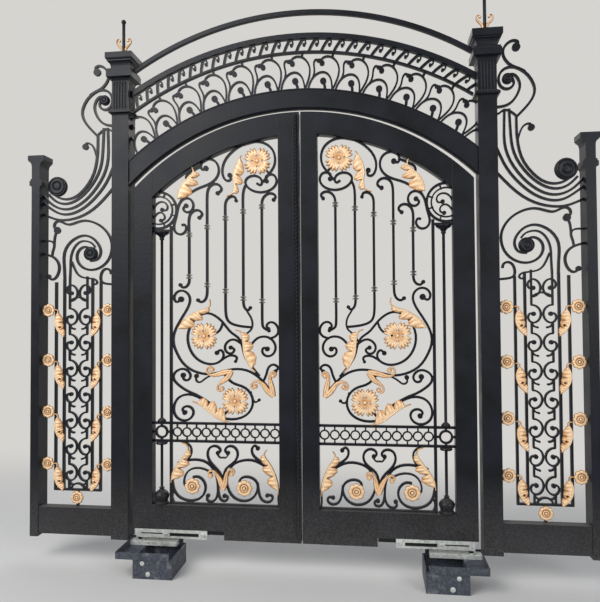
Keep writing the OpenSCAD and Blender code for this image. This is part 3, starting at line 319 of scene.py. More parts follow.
def smearedPaint():
    material, tree = startMaterial("black paint with dried cement")
    where = addNode(tree, "ShaderNodeTexCoord").outputs["Object"]
    cloud = addNode(tree, "ShaderNodeTexNoise", {"Scale": 1000 / boxPaint["smearMm"],
                                                 "Detail": 6.0, "Roughness": 0.62},
                    {"Vector": where}).outputs["Fac"]
    marks = addNode(tree, "ShaderNodeTexNoise", {"Scale": 1000 / boxPaint["scrapeMm"],
                                                 "Detail": 4.0}, {"Vector": where}).outputs["Fac"]
    scraped = addNode(tree, "ShaderNodeMapRange", {"From Min": 0.42, "From Max": 0.72,
                                                   "To Max": 0.7}, {"Value": marks}).outputs[0]
    colour = addNode(tree, "ShaderNodeMix", {"data_type": "RGBA",
                                             6: linearColour(boxPaint["paint"]),
                                             7: linearColour(boxPaint["scrape"])},
                     {0: scraped}).outputs[2]
    smear = addNode(tree, "ShaderNodeMapRange", {"From Min": 0.56, "From Max": 0.78,
                                                 "To Max": 0.7}, {"Value": cloud}).outputs[0]
    colour = addNode(tree, "ShaderNodeMix", {"data_type": "RGBA",
                                             7: linearColour(boxPaint["cement"])},
                     {0: smear, 6: colour}).outputs[2]
    smooth, coarse = boxPaint["roughness"]
    rough = addNode(tree, "ShaderNodeMapRange", {"From Min": 0.45, "From Max": 0.62,
                                                 "To Min": smooth, "To Max": coarse},
                    {"Value": cloud}).outputs[0]
    crust = addNode(tree, "ShaderNodeBump", {"Distance": boxPaint["smearDeepMm"] / 1000},
                    {"Height": smear}).outputs[0]
    shader = addNode(tree, "ShaderNodeBsdfPrincipled", {"IOR": 1.5},
                     {"Base Color": colour, "Roughness": rough, "Normal": crust}).outputs[0]
    addNode(tree, "ShaderNodeOutputMaterial", {}, {0: shader})
    return material


barDust, sectionDust = 0.7, 1.0  # share of the dust that bars and hollow sections carry
finishes = {
    "bars": brushedEnamel("black enamel on forged bars", enamel["barRoughness"], barDust),
    "sections": brushedEnamel("black enamel on hollow sections", enamel["sectionRoughness"],
                              sectionDust),
    "gold": goldBronzePaint(),
    "zinc": galvanisedSteel(),
    "box": smearedPaint(),
}
print("finishes made")

# Frame nodes take the finish of the first word here that their name holds, or else that of bars
nodeFinish = {
    "gilding": "gold", "finial_leaves": "gold", "lever": "zinc", "seat": "zinc",
    "foundation": "box", "post": "sections", "stile": "sections", "rail": "sections",
    "beam": "sections", "strip": "sections",
}
# Rounding of the corners, as paint and file leave them
softEdge = {
    "mm": {"bars": 1.2, "sections": 2.0, "gold": 0.0, "zinc": 1.0, "box": 1.0},
    "joinMm": 0.01,
    "sharperThan": 50,
    "segments": 2,
}

for name, part in nodes.items():
    finish = next((nodeFinish[word] for word in nodeFinish if word in name), "bars")
    part.data.materials.clear()
    part.data.materials.append(finishes[finish])
    for face in part.data.polygons:
        face.material_index = 0
    if softEdge["mm"][finish]:
        part.modifiers.new("joined corners", "WELD").merge_threshold = softEdge["joinMm"] / 1000
        edge = part.modifiers.new("soft edge", "BEVEL")
        edge.width = softEdge["mm"][finish] / 1000
        edge.segments = softEdge["segments"]
        edge.limit_method = "ANGLE"
        edge.angle_limit = math.radians(softEdge["sharperThan"])
print("frame nodes dressed")


def smoothWay(path, each=6):
    # Curve through the points, each span bending towards its neighbours
    ends = [2 * Vector(path[0]) - Vector(path[1])] + [Vector(p) for p in path]
    ends.append(2 * Vector(path[-1]) - Vector(path[-2]))
    way = []
    for i in range(1, len(ends) - 2):
        a, b, c, d = ends[i - 1:i + 3]
        for k in range(each):
            t = k / each
            way.append(0.5 * (2 * b + (c - a) * t + (2 * a - 5 * b + 4 * c - d) * t ** 2
                              + (3 * b - a - 3 * c + d) * t ** 3))
    return way + [ends[-2]]


def evenly(way, count):
    # The same curve as count equal steps
    length = [0.0]
    for a, b in zip(way, way[1:]):
        length.append(length[-1] + (b - a).length)
    out, j = [], 0
    for i in range(count + 1):
        s = length[-1] * i / count
        while j < len(way) - 2 and length[j + 1] < s:
            j += 1
        span = max(1e-9, length[j + 1] - length[j])
        out.append(way[j].lerp(way[j + 1], min(1.0, (s - length[j]) / span)))
    return out


def across(way, i):
    # Unit vector square to the curve at step i
    ahead = way[min(len(way) - 1, i + 1)] - way[max(0, i - 1)]
    ahead.normalize()
    return Vector((-ahead.y, ahead.x))


def between(table, s):
    # Smooth reading of a short table of (place, value)
    for (s0, v0), (s1, v1) in zip(table, table[1:]):
        if s <= s1:
            u = max(0.0, (s - s0) / (s1 - s0))
            return v0 + (v1 - v0) * u * u * (3 - 2 * u)
    return table[-1][1]


def around(radius, wide):
    # Points round a circle, the radius a number or a function of the angle
    for j in range(wide):
        a = math.tau * j / wide
        r = radius(a) if callable(radius) else radius
        yield r * math.cos(a), r * math.sin(a)


# Section of a casting's arms: shares of the half width, which stands full height from fullFrom mm
# the groove down an arm's middle is darkened with painted shade
arm = {"round": 2.4, "groove": 0.2, "grooveShade": 0.6, "fullFrom": 6.0}
# Corners closer than joinMm are joined, edges under creaseAngle look smooth, and closedTip is the
# radius in mm that shuts the front of a round form
meshing = {"joinMm": 0.02, "creaseAngle": 48, "closedTip": 0.2}


class Casting:
    # Closed skins in gate mm that become one piece; relief is 0 in a hollow and 1 on a crown, and the
    # gold paints it from painted shade up to a painted highlight

    def __init__(self, side=-1):
        self.side = side
        self.turn = lambda x, z: (x, z)
        self.points, self.faces, self.relief = [], [], []

    def skin(self, rows):
        # Each row of (x, y, z, relief) closes on itself and joins the next
        start, wide = len(self.points), len(rows[0])
        for row in rows:
            for x, y, z, high in row:
                x, z = self.turn(x, z)
                self.points.append(place(x, y, z, self.side))
                self.relief.append(max(0.0, min(1.0, high)))
        for i in range(len(rows) - 1):
            for j in range(wide):
                a, b = start + i * wide + j, start + i * wide + (j + 1) % wide
                self.faces.append((a, b, b + wide, a + wide))

    def flatBacked(self, rows, back):
        # Walls from the edges of the rows to a flat back
        flat = gold["backRelief"]
        rows = [[(row[0][0], back, row[0][2], flat)] + row + [(row[-1][0], back, row[-1][2], flat)]
                for row in rows]
        foot = [(x, back, z, flat) for x, y, z, high in rows[0]]
        head = [(x, back, z, flat) for x, y, z, high in rows[-1]]
        self.skin([foot] + rows + [head])

    def blade(self, path, half, crown, groove, front, back, count, wide=8):
        # Arm along a path, round across with a groove down its middle; half gives its width
        way = evenly(smoothWay(path), count)
        rows = []
        for i, p in enumerate(way):
            w = half(i / count)
            full = min(1.0, w / arm["fullFrom"])
            row = []
            for j in range(wide + 1):
                v = 2 * j / wide - 1
                q = p + across(way, i) * (w * v)
                swell = (1 - abs(v) ** arm["round"]) * full
                rib = math.exp(-(v / arm["groove"]) ** 2) * full
                # the groove is darkened with painted shade
                high = swell - arm["grooveShade"] * rib * (groove > 0)
                row.append((q.x, front - crown * swell + groove * rib, q.y, high))
            rows.append(row)
        self.flatBacked(rows, back)

    def rosette(self, x, z, rings, back, wide=48):
        # Round form facing the front; each ring is (y, relief, radius)
        flat = gold["backRelief"]
        rows = [[(x + dx, y, z + dz, high) for dx, dz in around(radius, wide)]
                for y, high, radius in rings]
        rim = [(p[0], back, p[2], flat) for p in rows[-1]]
        self.skin(rows + [rim, [(x, back, z, flat)] * wide])

    def turned(self, x, y, z, profile, high, wide=20):
        # Form turned about an upright axis from (radius, height)
        self.skin([[(x + dx, y + dy, z + h, high) for dx, dy in around(r, wide)]
                   for r, h in profile])

    def piece(self, name, finish, body, crease=meshing["creaseAngle"]):
        mesh = bpy.data.meshes.new(name)
        mesh.from_pydata(self.points, [], self.faces)
        mesh.attributes.new("relief", "FLOAT", "POINT").data.foreach_set("value", self.relief)
        form = bmesh.new()
        form.from_mesh(mesh)
        bmesh.ops.remove_doubles(form, verts=form.verts, dist=meshing["joinMm"] / 1000)
        bmesh.ops.recalc_face_normals(form, faces=form.faces)
        form.to_mesh(mesh)
        form.free()
        mesh.shade_smooth()
        mesh.set_sharp_from_angle(angle=math.radians(crease))
        mesh.materials.append(finishes[finish])
        thing = bpy.data.objects.new(name, mesh)
        bpy.context.scene.collection.objects.link(thing)
        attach(thing, body)
        return thing


# Large flower: four palmate groups of five points, open between the groups, round a small heart
flower = {
    "reach": 84.0,
    "groups": 4,
    "points": 5,
    "pointDepth": 0.17,
    "pointRound": 0.9,
    "outerShorter": 0.1,
    "steps": 40,
    "ringSteps": 14,
    "root": 0.07,
    "halfAngle": [(0.0, 45.0), (0.26, 44.6), (0.41, 24.0), (0.58, 43.4), (1.0, 40.0)],
    "body": [(0.0, 0.5), (0.3, 0.66), (0.68, 1.0), (0.88, 0.8), (1.0, 0.2)],
    "creaseFrom": [(0.0, 0.0), (0.62, 0.0), (0.98, 1.0)],
    "creaseWidth": 0.45,
    "creaseDepth": 0.55,
    "rim": 40.0,
    "crown": 9.5,
    # painted light and shade: how the gold's tone follows the height, as contrast and shift
    "relief": (1.05, -0.12),
    # (y, relief, share of the heart's reach, how far its edge waves); relief is the tone of painted
    # shade and highlight
    "heart": [(27.0, 0.95, 0.0, 0.0), (28.0, 0.9, 0.45, 0.0), (31.5, 0.5, 0.85, 0.0),
              (35.0, 0.1, 1.0, 0.1)],
    "heartReach": 11.0,
    "heartWaves": 6,
    "heartBack": 38.0,
    "heartFacets": 24,
}


def addFlower(casting, x, z):
    turn = 360 / flower["groups"]
    contrast, shift = flower["relief"]
    for group in range(flower["groups"]):
        rows = []
        for i in range(flower["steps"] + 1):
            t = 2 * i / flower["steps"] - 1
            along = t * flower["points"] / 2
            tooth = 1 - 2 * abs(along - round(along))
            cut = flower["pointDepth"] * (1 - tooth ** flower["pointRound"])
            edge = flower["reach"] * (1 - flower["outerShorter"] * t * t) * (1 - cut)
            row = []
            for j in range(flower["ringSteps"] + 1):
                s = j / flower["ringSteps"]
                r = flower["reach"] * flower["root"] * (1 - s) + edge * s
                a = math.radians(turn / 2 + turn * group + t * between(flower["halfAngle"], s))
                crease = (1 - tooth ** flower["creaseWidth"]) * between(flower["creaseFrom"], s)
                high = between(flower["body"], s) * (1 - flower["creaseDepth"] * crease)
                row.append((x + r * math.cos(a), flower["rim"] - flower["crown"] * high,
                            z + r * math.sin(a), contrast * high + shift))
            rows.append(row)
        casting.flatBacked(rows, gate["barFront"])

    def ring(share, wave):
        reach = max(meshing["closedTip"], flower["heartReach"] * share)
        return lambda a: reach * (1 + wave * math.cos(flower["heartWaves"] * a))

    rings = [(y, high, ring(share, wave)) for y, high, share, wave in flower["heart"]]
    casting.rosette(x, z, rings, flower["heartBack"], flower["heartFacets"])


# Small rosette: scalloped petals, a raised ring and a boss
rosette = {
    "petals": 8,
    "petalRound": 0.6,
    "rim": 39.5,
    "depth": 10.0,
    "facets": 64,
    # (share of the reach, how far the petals draw in, lift, relief) from the middle out; relief is
    # the tone of painted shade and highlight, dark in the grooves between the rings
    "profile": [(0.02, 0.0, 1.0, 1.0), (0.1, 0.0, 0.96, 1.0), (0.17, 0.0, 0.7, 0.6),
                (0.2, 0.0, 0.42, 0.05), (0.25, 0.0, 0.44, 0.1), (0.32, 0.0, 0.72, 0.85),
                (0.4, 0.0, 0.66, 0.8), (0.45, 0.0, 0.34, 0.05), (0.5, 0.02, 0.4, 0.2),
                (0.64, 0.06, 0.72, 0.75), (0.8, 0.11, 0.8, 1.0), (0.93, 0.16, 0.5, 0.6),
                (1.0, 0.18, 0.1, 0.25)],
}


def addRosette(casting, x, z, reach):
    def petal(part, depth):
        def radius(a):
            bulge = abs(math.cos(rosette["petals"] * a / 2)) ** rosette["petalRound"]
            return reach * part * (1 - depth * (1 - bulge))
        return radius

    rings = [(rosette["rim"] - rosette["depth"] * lift, relief, petal(part, depth))
             for part, depth, lift, relief in rosette["profile"]]
    casting.rosette(x, z, rings, gate["barFront"], rosette["facets"])


# Lobed leaves: a midrib that curls past the lobes, and lobes that each swell to a tip between two
# notches
leaves = {
    "topLeft": {
        "spine": [(-697, 1939), (-690, 1978), (-668, 2021), (-635, 2056), (-610, 2081),
                  (-603, 2092), (-612, 2120), (-636, 2136)],
        "tips": [(-613, 1965), (-574, 2019), (-566, 2072)],
        "notches": [(-697, 1939), (-639, 2010), (-612, 2053), (-602, 2092)]},
    "topMid": {
        "spine": [(-409, 1946), (-381, 1955), (-367, 1974), (-363, 2016), (-368, 2054),
                  (-361, 2098), (-344, 2136), (-323, 2175)],
        "tips": [(-338, 1969), (-312, 2019), (-308, 2080)],
        "notches": [(-367, 1961), (-354, 2014), (-344, 2068), (-326, 2157)]},
    "midLeft": {
        "spine": [(-695, 1194), (-669, 1231), (-626, 1266), (-577, 1290), (-527, 1306),
                  (-507, 1328), (-509, 1361)],
        "tips": [(-606, 1203), (-552, 1242), (-514, 1288)],
        "notches": [(-691, 1193), (-619, 1244), (-569, 1275), (-518, 1310)]},
    "midRight": {
        "spine": [(-246, 949), (-272, 975), (-294, 1014), (-309, 1054), (-314, 1100),
                  (-320, 1145), (-333, 1176), (-359, 1185)],
        "tips": [(-240, 1034), (-257, 1097), (-280, 1152)],
        "notches": [(-265, 972), (-284, 1067), (-292, 1122), (-315, 1172)]},
    "midLow": {
        "spine": [(-396, 665), (-454, 683), (-505, 721), (-558, 759), (-611, 781)],
        "tips": [(-437, 746), (-484, 783), (-543, 803)],
        "notches": [(-416, 671), (-469, 724), (-517, 760), (-577, 773)]},
    "lowLeft": {
        "spine": [(-737, 321), (-727, 373), (-697, 422), (-659, 472), (-638, 508), (-645, 535),
                  (-674, 548)],
        "tips": [(-661, 365), (-628, 424), (-621, 479)],
        "notches": [(-735, 336), (-691, 400), (-659, 451), (-634, 510)]},
    "lowRight": {
        "spine": [(-119, 270), (-122, 321), (-140, 382), (-167, 436), (-193, 473), (-197, 498),
                  (-184, 516)],
        "tips": [(-182, 331), (-211, 405), (-222, 465)],
        "notches": [(-120, 294), (-158, 366), (-183, 425), (-197, 489)]},
}
leafForm = {
    "spineSteps": 200,
    "lobeSteps": 24,
    "acrossSteps": 10,
    "fullness": 0.62,
    "scallops": 3,
    "scallopDepth": 0.13,
    "creaseFrom": [(0.0, 0.0), (0.3, 0.0), (0.75, 1.0)],
    "creaseWidth": 0.5,
    "creaseDepth": 0.95,
    "crossFrom": 0.24,  # the part of a half wave that the section across a lobe follows
    "crossSpan": 0.72,
    "crossRound": 0.7,
    "rim": 40.0,
    "crown": 10.0,
    "vein": 1.8,
    "veins": 3,
    # relief tones of painted light and shade: everywhere, on the lobe, on the vein
    "relief": (0.05, 0.85, 0.25),  # everywhere, on the lobe, on the vein
    "pitShade": 1.5,
    "rib": {"half": 6.0, "ends": 0.3, "middle": 0.7, "from": 0.1, "span": 0.82, "crown": 6.0,
            "front": 35.0, "steps": 40, "facets": 6},
}


def addLeaf(casting, leaf):
    spine = evenly(smoothWay(leaf["spine"]), leafForm["spineSteps"])
    notches = [Vector(p) for p in leaf["notches"]]
    # place on the midrib that each notch looks back to
    station = [min(range(len(spine)), key=lambda i, n=n: (spine[i] - n).length) for n in notches]
    pitX, pitZ, pitR = leaf.get("pit", (0.0, 0.0, 0.0))
    steps, wide, rows = leafForm["lobeSteps"], leafForm["acrossSteps"], []
    base, onLobe, onVein = leafForm["relief"]
    for k, tip in enumerate(leaf["tips"]):
        start, end = notches[k], notches[k + 1]
        reach = Vector(tip) - start.lerp(end, 0.5)
        for i in range(steps + (k == len(leaf["tips"]) - 1)):
            u = i / steps
            swell = math.sin(math.pi * u)
            cut = 1 - abs(math.sin(leafForm["scallops"] * math.pi * u))
            full = swell ** leafForm["fullness"] * (1 - leafForm["scallopDepth"] * cut)
            edge = start.lerp(end, u) + reach * full
            root = spine[round(station[k] + (station[k + 1] - station[k]) * u)]
            row = []
            for j in range(wide + 1):
                v = j / wide
                q = root.lerp(edge, v)
                crease = (1 - swell ** leafForm["creaseWidth"]) * between(leafForm["creaseFrom"], v)
                phase = min(1.0, leafForm["crossFrom"] + leafForm["crossSpan"] * v)
                cross = math.sin(math.pi * phase) ** leafForm["crossRound"]
                lobe = cross * (1 - leafForm["creaseDepth"] * crease)
                vein = math.cos(leafForm["veins"] * math.tau * (u - 0.5)) * swell * 4 * v * (1 - v)
                sunk = 0.0
                if pitR:
                    off = ((q.x - pitX) ** 2 + (q.y - pitZ) ** 2) / pitR ** 2
                    sunk = max(0.0, 1 - off) ** 0.5
                high = leafForm["crown"] * lobe + leafForm["vein"] * vein
                # the pit is darkened with painted shade as well as sunk
                tone = (base + onLobe * lobe + onVein * vein) * (1 - leafForm["pitShade"] * sunk)
                row.append((q.x, leafForm["rim"] - high * (1 - sunk), q.y, tone))
            rows.append(row)
    casting.flatBacked(rows, gate["barFront"])
    rib = leafForm["rib"]

    def half(t):
        wave = math.sin(math.pi * (rib["from"] + rib["span"] * t))
        return rib["half"] * (rib["ends"] + rib["middle"] * wave)

    casting.blade(leaf["spine"], half, rib["crown"], 0.0, rib["front"], gate["barFront"],
                  rib["steps"], rib["facets"])


# Curled ornaments: grooved arms that taper into a volute
curls = {
    "doubleCurl": [(-380, 953), (-427, 946), (-474, 933), (-503, 932), (-526, 950), (-520, 974),
                   (-503, 976), (-496, 963)],
    "doubleTail": [(-380, 953), (-409, 914), (-438, 892), (-461, 872), (-464, 850), (-448, 842),
                   (-438, 855)],
    "veeLeft": [(-143, 813), (-176, 844), (-206, 883), (-235, 898), (-262, 890), (-270, 868),
                (-256, 857), (-247, 870)],
    "veeRight": [(-143, 813), (-154, 864), (-163, 907), (-162, 936), (-148, 952), (-132, 943),
                 (-134, 928), (-146, 930)],
    "heartLeft": [(-434, 288), (-447, 331), (-466, 368), (-490, 392), (-512, 390), (-518, 374),
                  (-505, 366)],
    "heartRight": [(-434, 288), (-421, 332), (-414, 374), (-398, 402), (-378, 404), (-370, 388),
                   (-383, 380)],
}
curlForm = {
    "half": 14.5,
    "tipHalf": 6.0,
    "crown": 8.0,
    "groove": 4.5,
    "front": 35.0,
    "steps": 44,
    "eyeReach": 14.0,
    "eyeFacets": 22,
    # (y, relief, share of the eye's reach): a button inside a rolled rim; relief is the tone of
    # painted shade and highlight, dark in the groove between them
    "eye": [(23.5, 1.0, 0.0), (24.5, 0.9, 0.36), (28.0, 0.2, 0.48), (26.0, 0.9, 0.72),
            (30.5, 0.3, 1.0)],
}


def eyeRings(form):
    # The round end of a volute, from its dictionary
    return [(y, high, max(meshing["closedTip"], share * form["eyeReach"]))
            for y, high, share in form["eye"]]


def addCurl(casting, path):
    def half(t):
        # widest a quarter of the way along, then down to the tip
        belly = 0.5 + 0.8 * math.sin(math.pi * min(1, t * 1.35 + 0.1))
        return curlForm["half"] * belly * (1 - t) + curlForm["tipHalf"] * t

    casting.blade(path, half, curlForm["crown"], curlForm["groove"], curlForm["front"],
                  gate["barFront"], curlForm["steps"])
    casting.rosette(path[-1][0], path[-1][1], eyeRings(curlForm), gate["barFront"],
                    curlForm["eyeFacets"])


# Where each flower and rosette sits on the left leaf
leafGilding = {
    "flowers": [(-231, 2139), (-542, 1151), (-363, 785)],
    "rosettes": [(-612, 303), (-313, 300)],
    "rosetteReach": 46.0,
}
for side, word in halves:
    casting = Casting(side)
    for x, z in leafGilding["flowers"]:
        addFlower(casting, x, z)
    for x, z in leafGilding["rosettes"]:
        addRosette(casting, x, z, leafGilding["rosetteReach"])
    for leaf in leaves.values():
        addLeaf(casting, leaf)
    for path in curls.values():
        addCurl(casting, path)
    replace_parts(casting.piece(word + "LeafCastings", "gold", word + "_leaf"), word + "_gilding")
print("leaf castings made")

# Side panel castings: rosettes at the outer bars and a lobed leaf below each
panel = {
    "middle": -1302.0,
    "rosetteX": (-1483.0, -1116.0),
    "rosetteZ": (411, 712, 1012, 1304),
    "lowRosetteZ": 218,
    "rosetteReach": 39.0,
    "leafX": -1411.0,
    "leafZ": (1224, 921, 615, 330),
    "leaf": {
        "spine": [(26, -76), (10, -62), (-8, -44), (-22, -18), (-28, 12), (-24, 42), (-13, 62),
                  (-12, 76), (-24, 84), (-34, 80)],
        "tips": [(29, -40), (21, -6), (14, 36)],
        "notches": [(25, -72), (15, -28), (12, 8), (-12, 66)],
        "pit": (0, -20, 8)},  # x, z and radius of the pit between two lobes, sunk and darkened with painted shade
}
for side, word in halves:
    casting = Casting(side)
    for z in panel["rosetteZ"]:
        for x in panel["rosetteX"]:
            addRosette(casting, x, z, panel["rosetteReach"])
    addRosette(casting, panel["middle"], panel["lowRosetteZ"], panel["rosetteReach"])
    for z in panel["leafZ"]:
        casting.turn = lambda x, up, z=z: (panel["leafX"] + x, z + up)
        addLeaf(casting, panel["leaf"])
        # its twin is turned over about the panel's middle
        casting.turn = lambda x, up, z=z: (2 * panel["middle"] - panel["leafX"] - x, z + up)
        addLeaf(casting, panel["leaf"])
    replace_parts(casting.piece(word + "PanelCastings", "gold", "gate_frame"), word + "_side_gilding")
print("panel castings made")

# Finial leaves: a pair curling off each rod
finial = {
    "way": [(5, 4), (7, 30), (15, 54), (30, 70), (43, 86), (41, 104), (29, 108), (25, 98)],
    "half": 8.0,
    "crown": 5.0,
    "groove": 2.0,
    "front": 50.0,
    "back": 54.0,
    "steps": 36,
    "facets": 6,
    "eyeReach": 8.0,
    "eyeFacets": 18,
    "eye": [(44.0, 1.0, 0.0), (45.0, 0.8, 0.6), (49.0, 0.4, 1.0)],  # as in curlForm
}


def finialHalf(t):
    # fullest a third of the way along, then a long taper
    belly = 0.62 + 0.5 * math.sin(math.pi * min(1, t * 1.3))
    return finial["half"] * belly * (1.1 - 0.5 * t)


casting = Casting()
for postX in (-gate["middle"], gate["middle"]):
    for way in (1, -1):
        path = [(postX + way * x, gate["postTop"] + z) for x, z in finial["way"]]
        casting.blade(path, finialHalf, finial["crown"], finial["groove"], finial["front"],
                      finial["back"], finial["steps"], finial["facets"])
        casting.rosette(path[-1][0], path[-1][1], eyeRings(finial), finial["back"],
                        finial["eyeFacets"])
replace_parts(casting.piece("finialLeaves", "gold", "gate_frame"), "finial_leaves")
print("finial leaves made")

# Broad rolled ends of the side scrolls: the bar is forged wide and rolled up into a boss
rolledEnds = {
    "at": [(-1436, 2036, 58.0), (-1228, 1634, 41.0), (-1143, 2537, 29.0)],  # x, z, reach
    "back": 60.0,
    # (share of the reach, y) from the middle out: three turns with a hollow between each
    "profile": [(0.02, 37.5), (0.2, 37.2), (0.34, 38.2), (0.4, 40.5), (0.46, 38.0), (0.68, 37.6),
                (0.78, 38.4), (0.83, 40.6), (0.87, 38.6), (0.95, 39.4), (1.0, 42.0), (1.0, 57.0)],
    "facets": 40,
    "crease": 60,
}
plain = 0.5  # relief of a form that isn't gilded: its paint doesn't read it
for side, word in halves:
    casting = Casting(side)
    for x, z, reach in rolledEnds["at"]:
        casting.rosette(x, z, [(y, plain, reach * part) for part, y in rolledEnds["profile"]],
                        rolledEnds["back"], rolledEnds["facets"])
    casting.piece(word + "RolledEnds", "bars", "gate_frame", rolledEnds["crease"])
print("rolled ends made")

# Rope moulding on the cover strip where the leaves meet
rope = {
    "x": -9.0,
    "y": 12.0,
    "foot": 40.0,
    "top": 2386.0,
    "strands": 3,
    "pitch": 66.0,
    "helix": 5.0,
    "strand": 5.6,
    "sides": 8,
    "stepsPerTurn": 14,
    "closedEnd": 0.1,
    "crease": 80,
}
casting = Casting()
ropeLength = rope["top"] - rope["foot"]
count = round(ropeLength / rope["pitch"] * rope["stepsPerTurn"])
for strand in range(rope["strands"]):
    rows = []
    for i in range(count + 1):
        z = rope["foot"] + ropeLength * i / count
        a = math.tau * ((z - rope["foot"]) / rope["pitch"] + strand / rope["strands"])
        x, y = rope["x"] + rope["helix"] * math.cos(a), rope["y"] + rope["helix"] * math.sin(a)
        r = rope["strand"] if 0 < i < count else rope["closedEnd"]
        rows.append([(x + dx, y + dy, z, plain) for dx, dy in around(r, rope["sides"])])
    casting.skin(rows)
casting.piece("meetingRope", "bars", "left_leaf", rope["crease"])
print("rope made")

# Turned collars on the upright bars, in pairs, their edges rounded over
collar = {
    "barX": (-632, -526, -419, -316, -208),
    "upperZ": (1733, 1774, 1822, 1857, 1882),
    "lowerZ": (1492, 1442, 1407, 1363, 1348),
    "apart": 8.0,
    # (radius, height)
    "profile": [(0.1, -4.6), (15.4, -4.6), (17.6, -3.6), (18.4, -1.6), (18.4, 1.6), (17.6, 3.6),
                (15.4, 4.6), (0.1, 4.6)],
    "crease": 60,
}
for side, word in halves:
    casting = Casting(side)
    for x, upper, lower in zip(collar["barX"], collar["upperZ"], collar["lowerZ"]):
        for z in (upper, lower):
            for off in (-collar["apart"], collar["apart"]):
                casting.turned(x, gate["barMiddle"], z + off, collar["profile"], plain)
    # the collars take the pale galvanised finish, which shows them light against the black bars
    casting.piece(word + "Collars", "zinc", word + "_leaf", collar["crease"])
print("collars made")

# Weld beads left proud across the hinge stile and where the frame members of a leaf meet
weld = {
    "half": 3.4,
    "ripple": 6.0,  # real ripples are about 2 mm apart, drawn coarser so that they show
    "rippleDepth": 0.25,
    "proud": 1.3,
    "sunk": (0.4, 1.0),  # how deep the edges and the back lie in the stile
    "stepMm": 1.5,
    "fewestSteps": 8,
    "facets": 4,
    "leafSeams": [((-954, 1918), (-844, 1918)), ((-954, 1780), (-844, 1780)),
                  ((-842, 66), (-842, 196)), ((-111, 20), (-111, 196)),
                  ((-842, 1960), (-842, 2096)), ((-111, 2288), (-111, 2392))],
    "crease": 70,
}


def addWeld(casting, ends, face):
    length = (Vector(ends[1]) - Vector(ends[0])).length

    def half(t):
        wave = abs(math.sin(math.pi * t * length / weld["ripple"]))
        return weld["half"] * (0.8 + weld["rippleDepth"] * wave)

    front, back = weld["sunk"]
    casting.blade([ends[0], ends[1]], half, weld["proud"], 0.0, face + front, face + back,
                  max(weld["fewestSteps"], round(length / weld["stepMm"])), weld["facets"])


for side, word in halves:
    casting = Casting(side)
    for ends in weld["leafSeams"]:
        addWeld(casting, ends, gate["leafFront"])
    casting.piece(word + "LeafWelds", "sections", word + "_leaf", weld["crease"])
print("welds made")

# Hexagon bolts with washers: on the front of each sunk box and on each lever
bolts = {
    "box": [(-828, -58, -159.0, 16.0), (-796, -114, -159.0, 17.5)],  # x, z, face, width over flats
    "lever": [(-546, 38, gate["leafFront"], 16.0), (-760, 38, gate["leafFront"], 13.0)],
    "height": 0.32,  # this and the next three are shares of the width
    "top": 0.4,
    "flat": 0.5,
    "washer": (0.68, 0.74),
    "chamferAt": 0.85,  # share of the height
    "washerOut": (2.2, 1.6),  # mm that the washer's top and edge stand out
    "sunk": 0.5,
    "shutTip": 0.1,
    "facets": 36,
    "crease": 30,
}


def addBolt(casting, x, z, face, size):
    def hexagon(a):
        sixth = math.pi / 3
        return size * bolts["flat"] / math.cos((a + sixth / 2) % sixth - sixth / 2)

    high = bolts["height"] * size
    washerTop, washerEdge = bolts["washerOut"]
    inner, outer = bolts["washer"]
    rings = [(face - high, bolts["shutTip"]), (face - high, size * bolts["top"]),
             (face - bolts["chamferAt"] * high, hexagon), (face - washerTop, hexagon),
             (face - washerTop, size * inner), (face - washerEdge, size * outer)]
    casting.rosette(x, z, [(y, plain, radius) for y, radius in rings], face + bolts["sunk"],
                    bolts["facets"])


for side, word in halves:
    for spot, body in (("box", "gate_frame"), ("lever", word + "_leaf")):
        casting = Casting(side)
        for x, z, face, size in bolts[spot]:
            addBolt(casting, x, z, face, size)
        casting.piece(word + spot.capitalize() + "Bolts", "zinc", body, bolts["crease"])
print("bolts made")

# Studio: a pale floor that sweeps up into a wall; the camera sees the wall as one even tone
studio = {
    "paper": "#D6D4D0",
    "paperRoughness": (0.85, 0.95),
    "fibreMm": 4.0,  # real fibres are far finer and wouldn't show
    "middle": 1.0,
    "half": 17.0,
    "front": -9.0,
    "back": 5.2,
    "bend": 2.2,
    "bendSteps": 16,
    "height": 9.0,
    "evenFrom": 0.6,
    "evenTo": 2.8,
    "sky": "#D5DFF2",
    "skyStrength": 0.4,
    "lamps": {
        "key": {"at": (-2.6, -4.4, 4.8), "to": (0.9, 0.0, 1.3), "size": 5.0, "watts": 360.0},
        "fill": {"at": (5.2, -4.0, 2.4), "to": (1.2, 0.0, 1.2), "size": 2.8, "watts": 95.0},
        "rim": {"at": (1.0, 3.4, 5.0), "to": (1.0, 0.0, 1.8), "size": 4.0, "watts": 50.0},
    },
}


def seenDirectly(tree):
    # 1 for rays from the camera and off gloss, so that metal shows the same backdrop
    rays = addNode(tree, "ShaderNodeLightPath").outputs
    return addNode(tree, "ShaderNodeMath", {"operation": "MAXIMUM"},
                   {0: rays["Is Camera Ray"], 1: rays["Is Glossy Ray"]}).outputs[0]


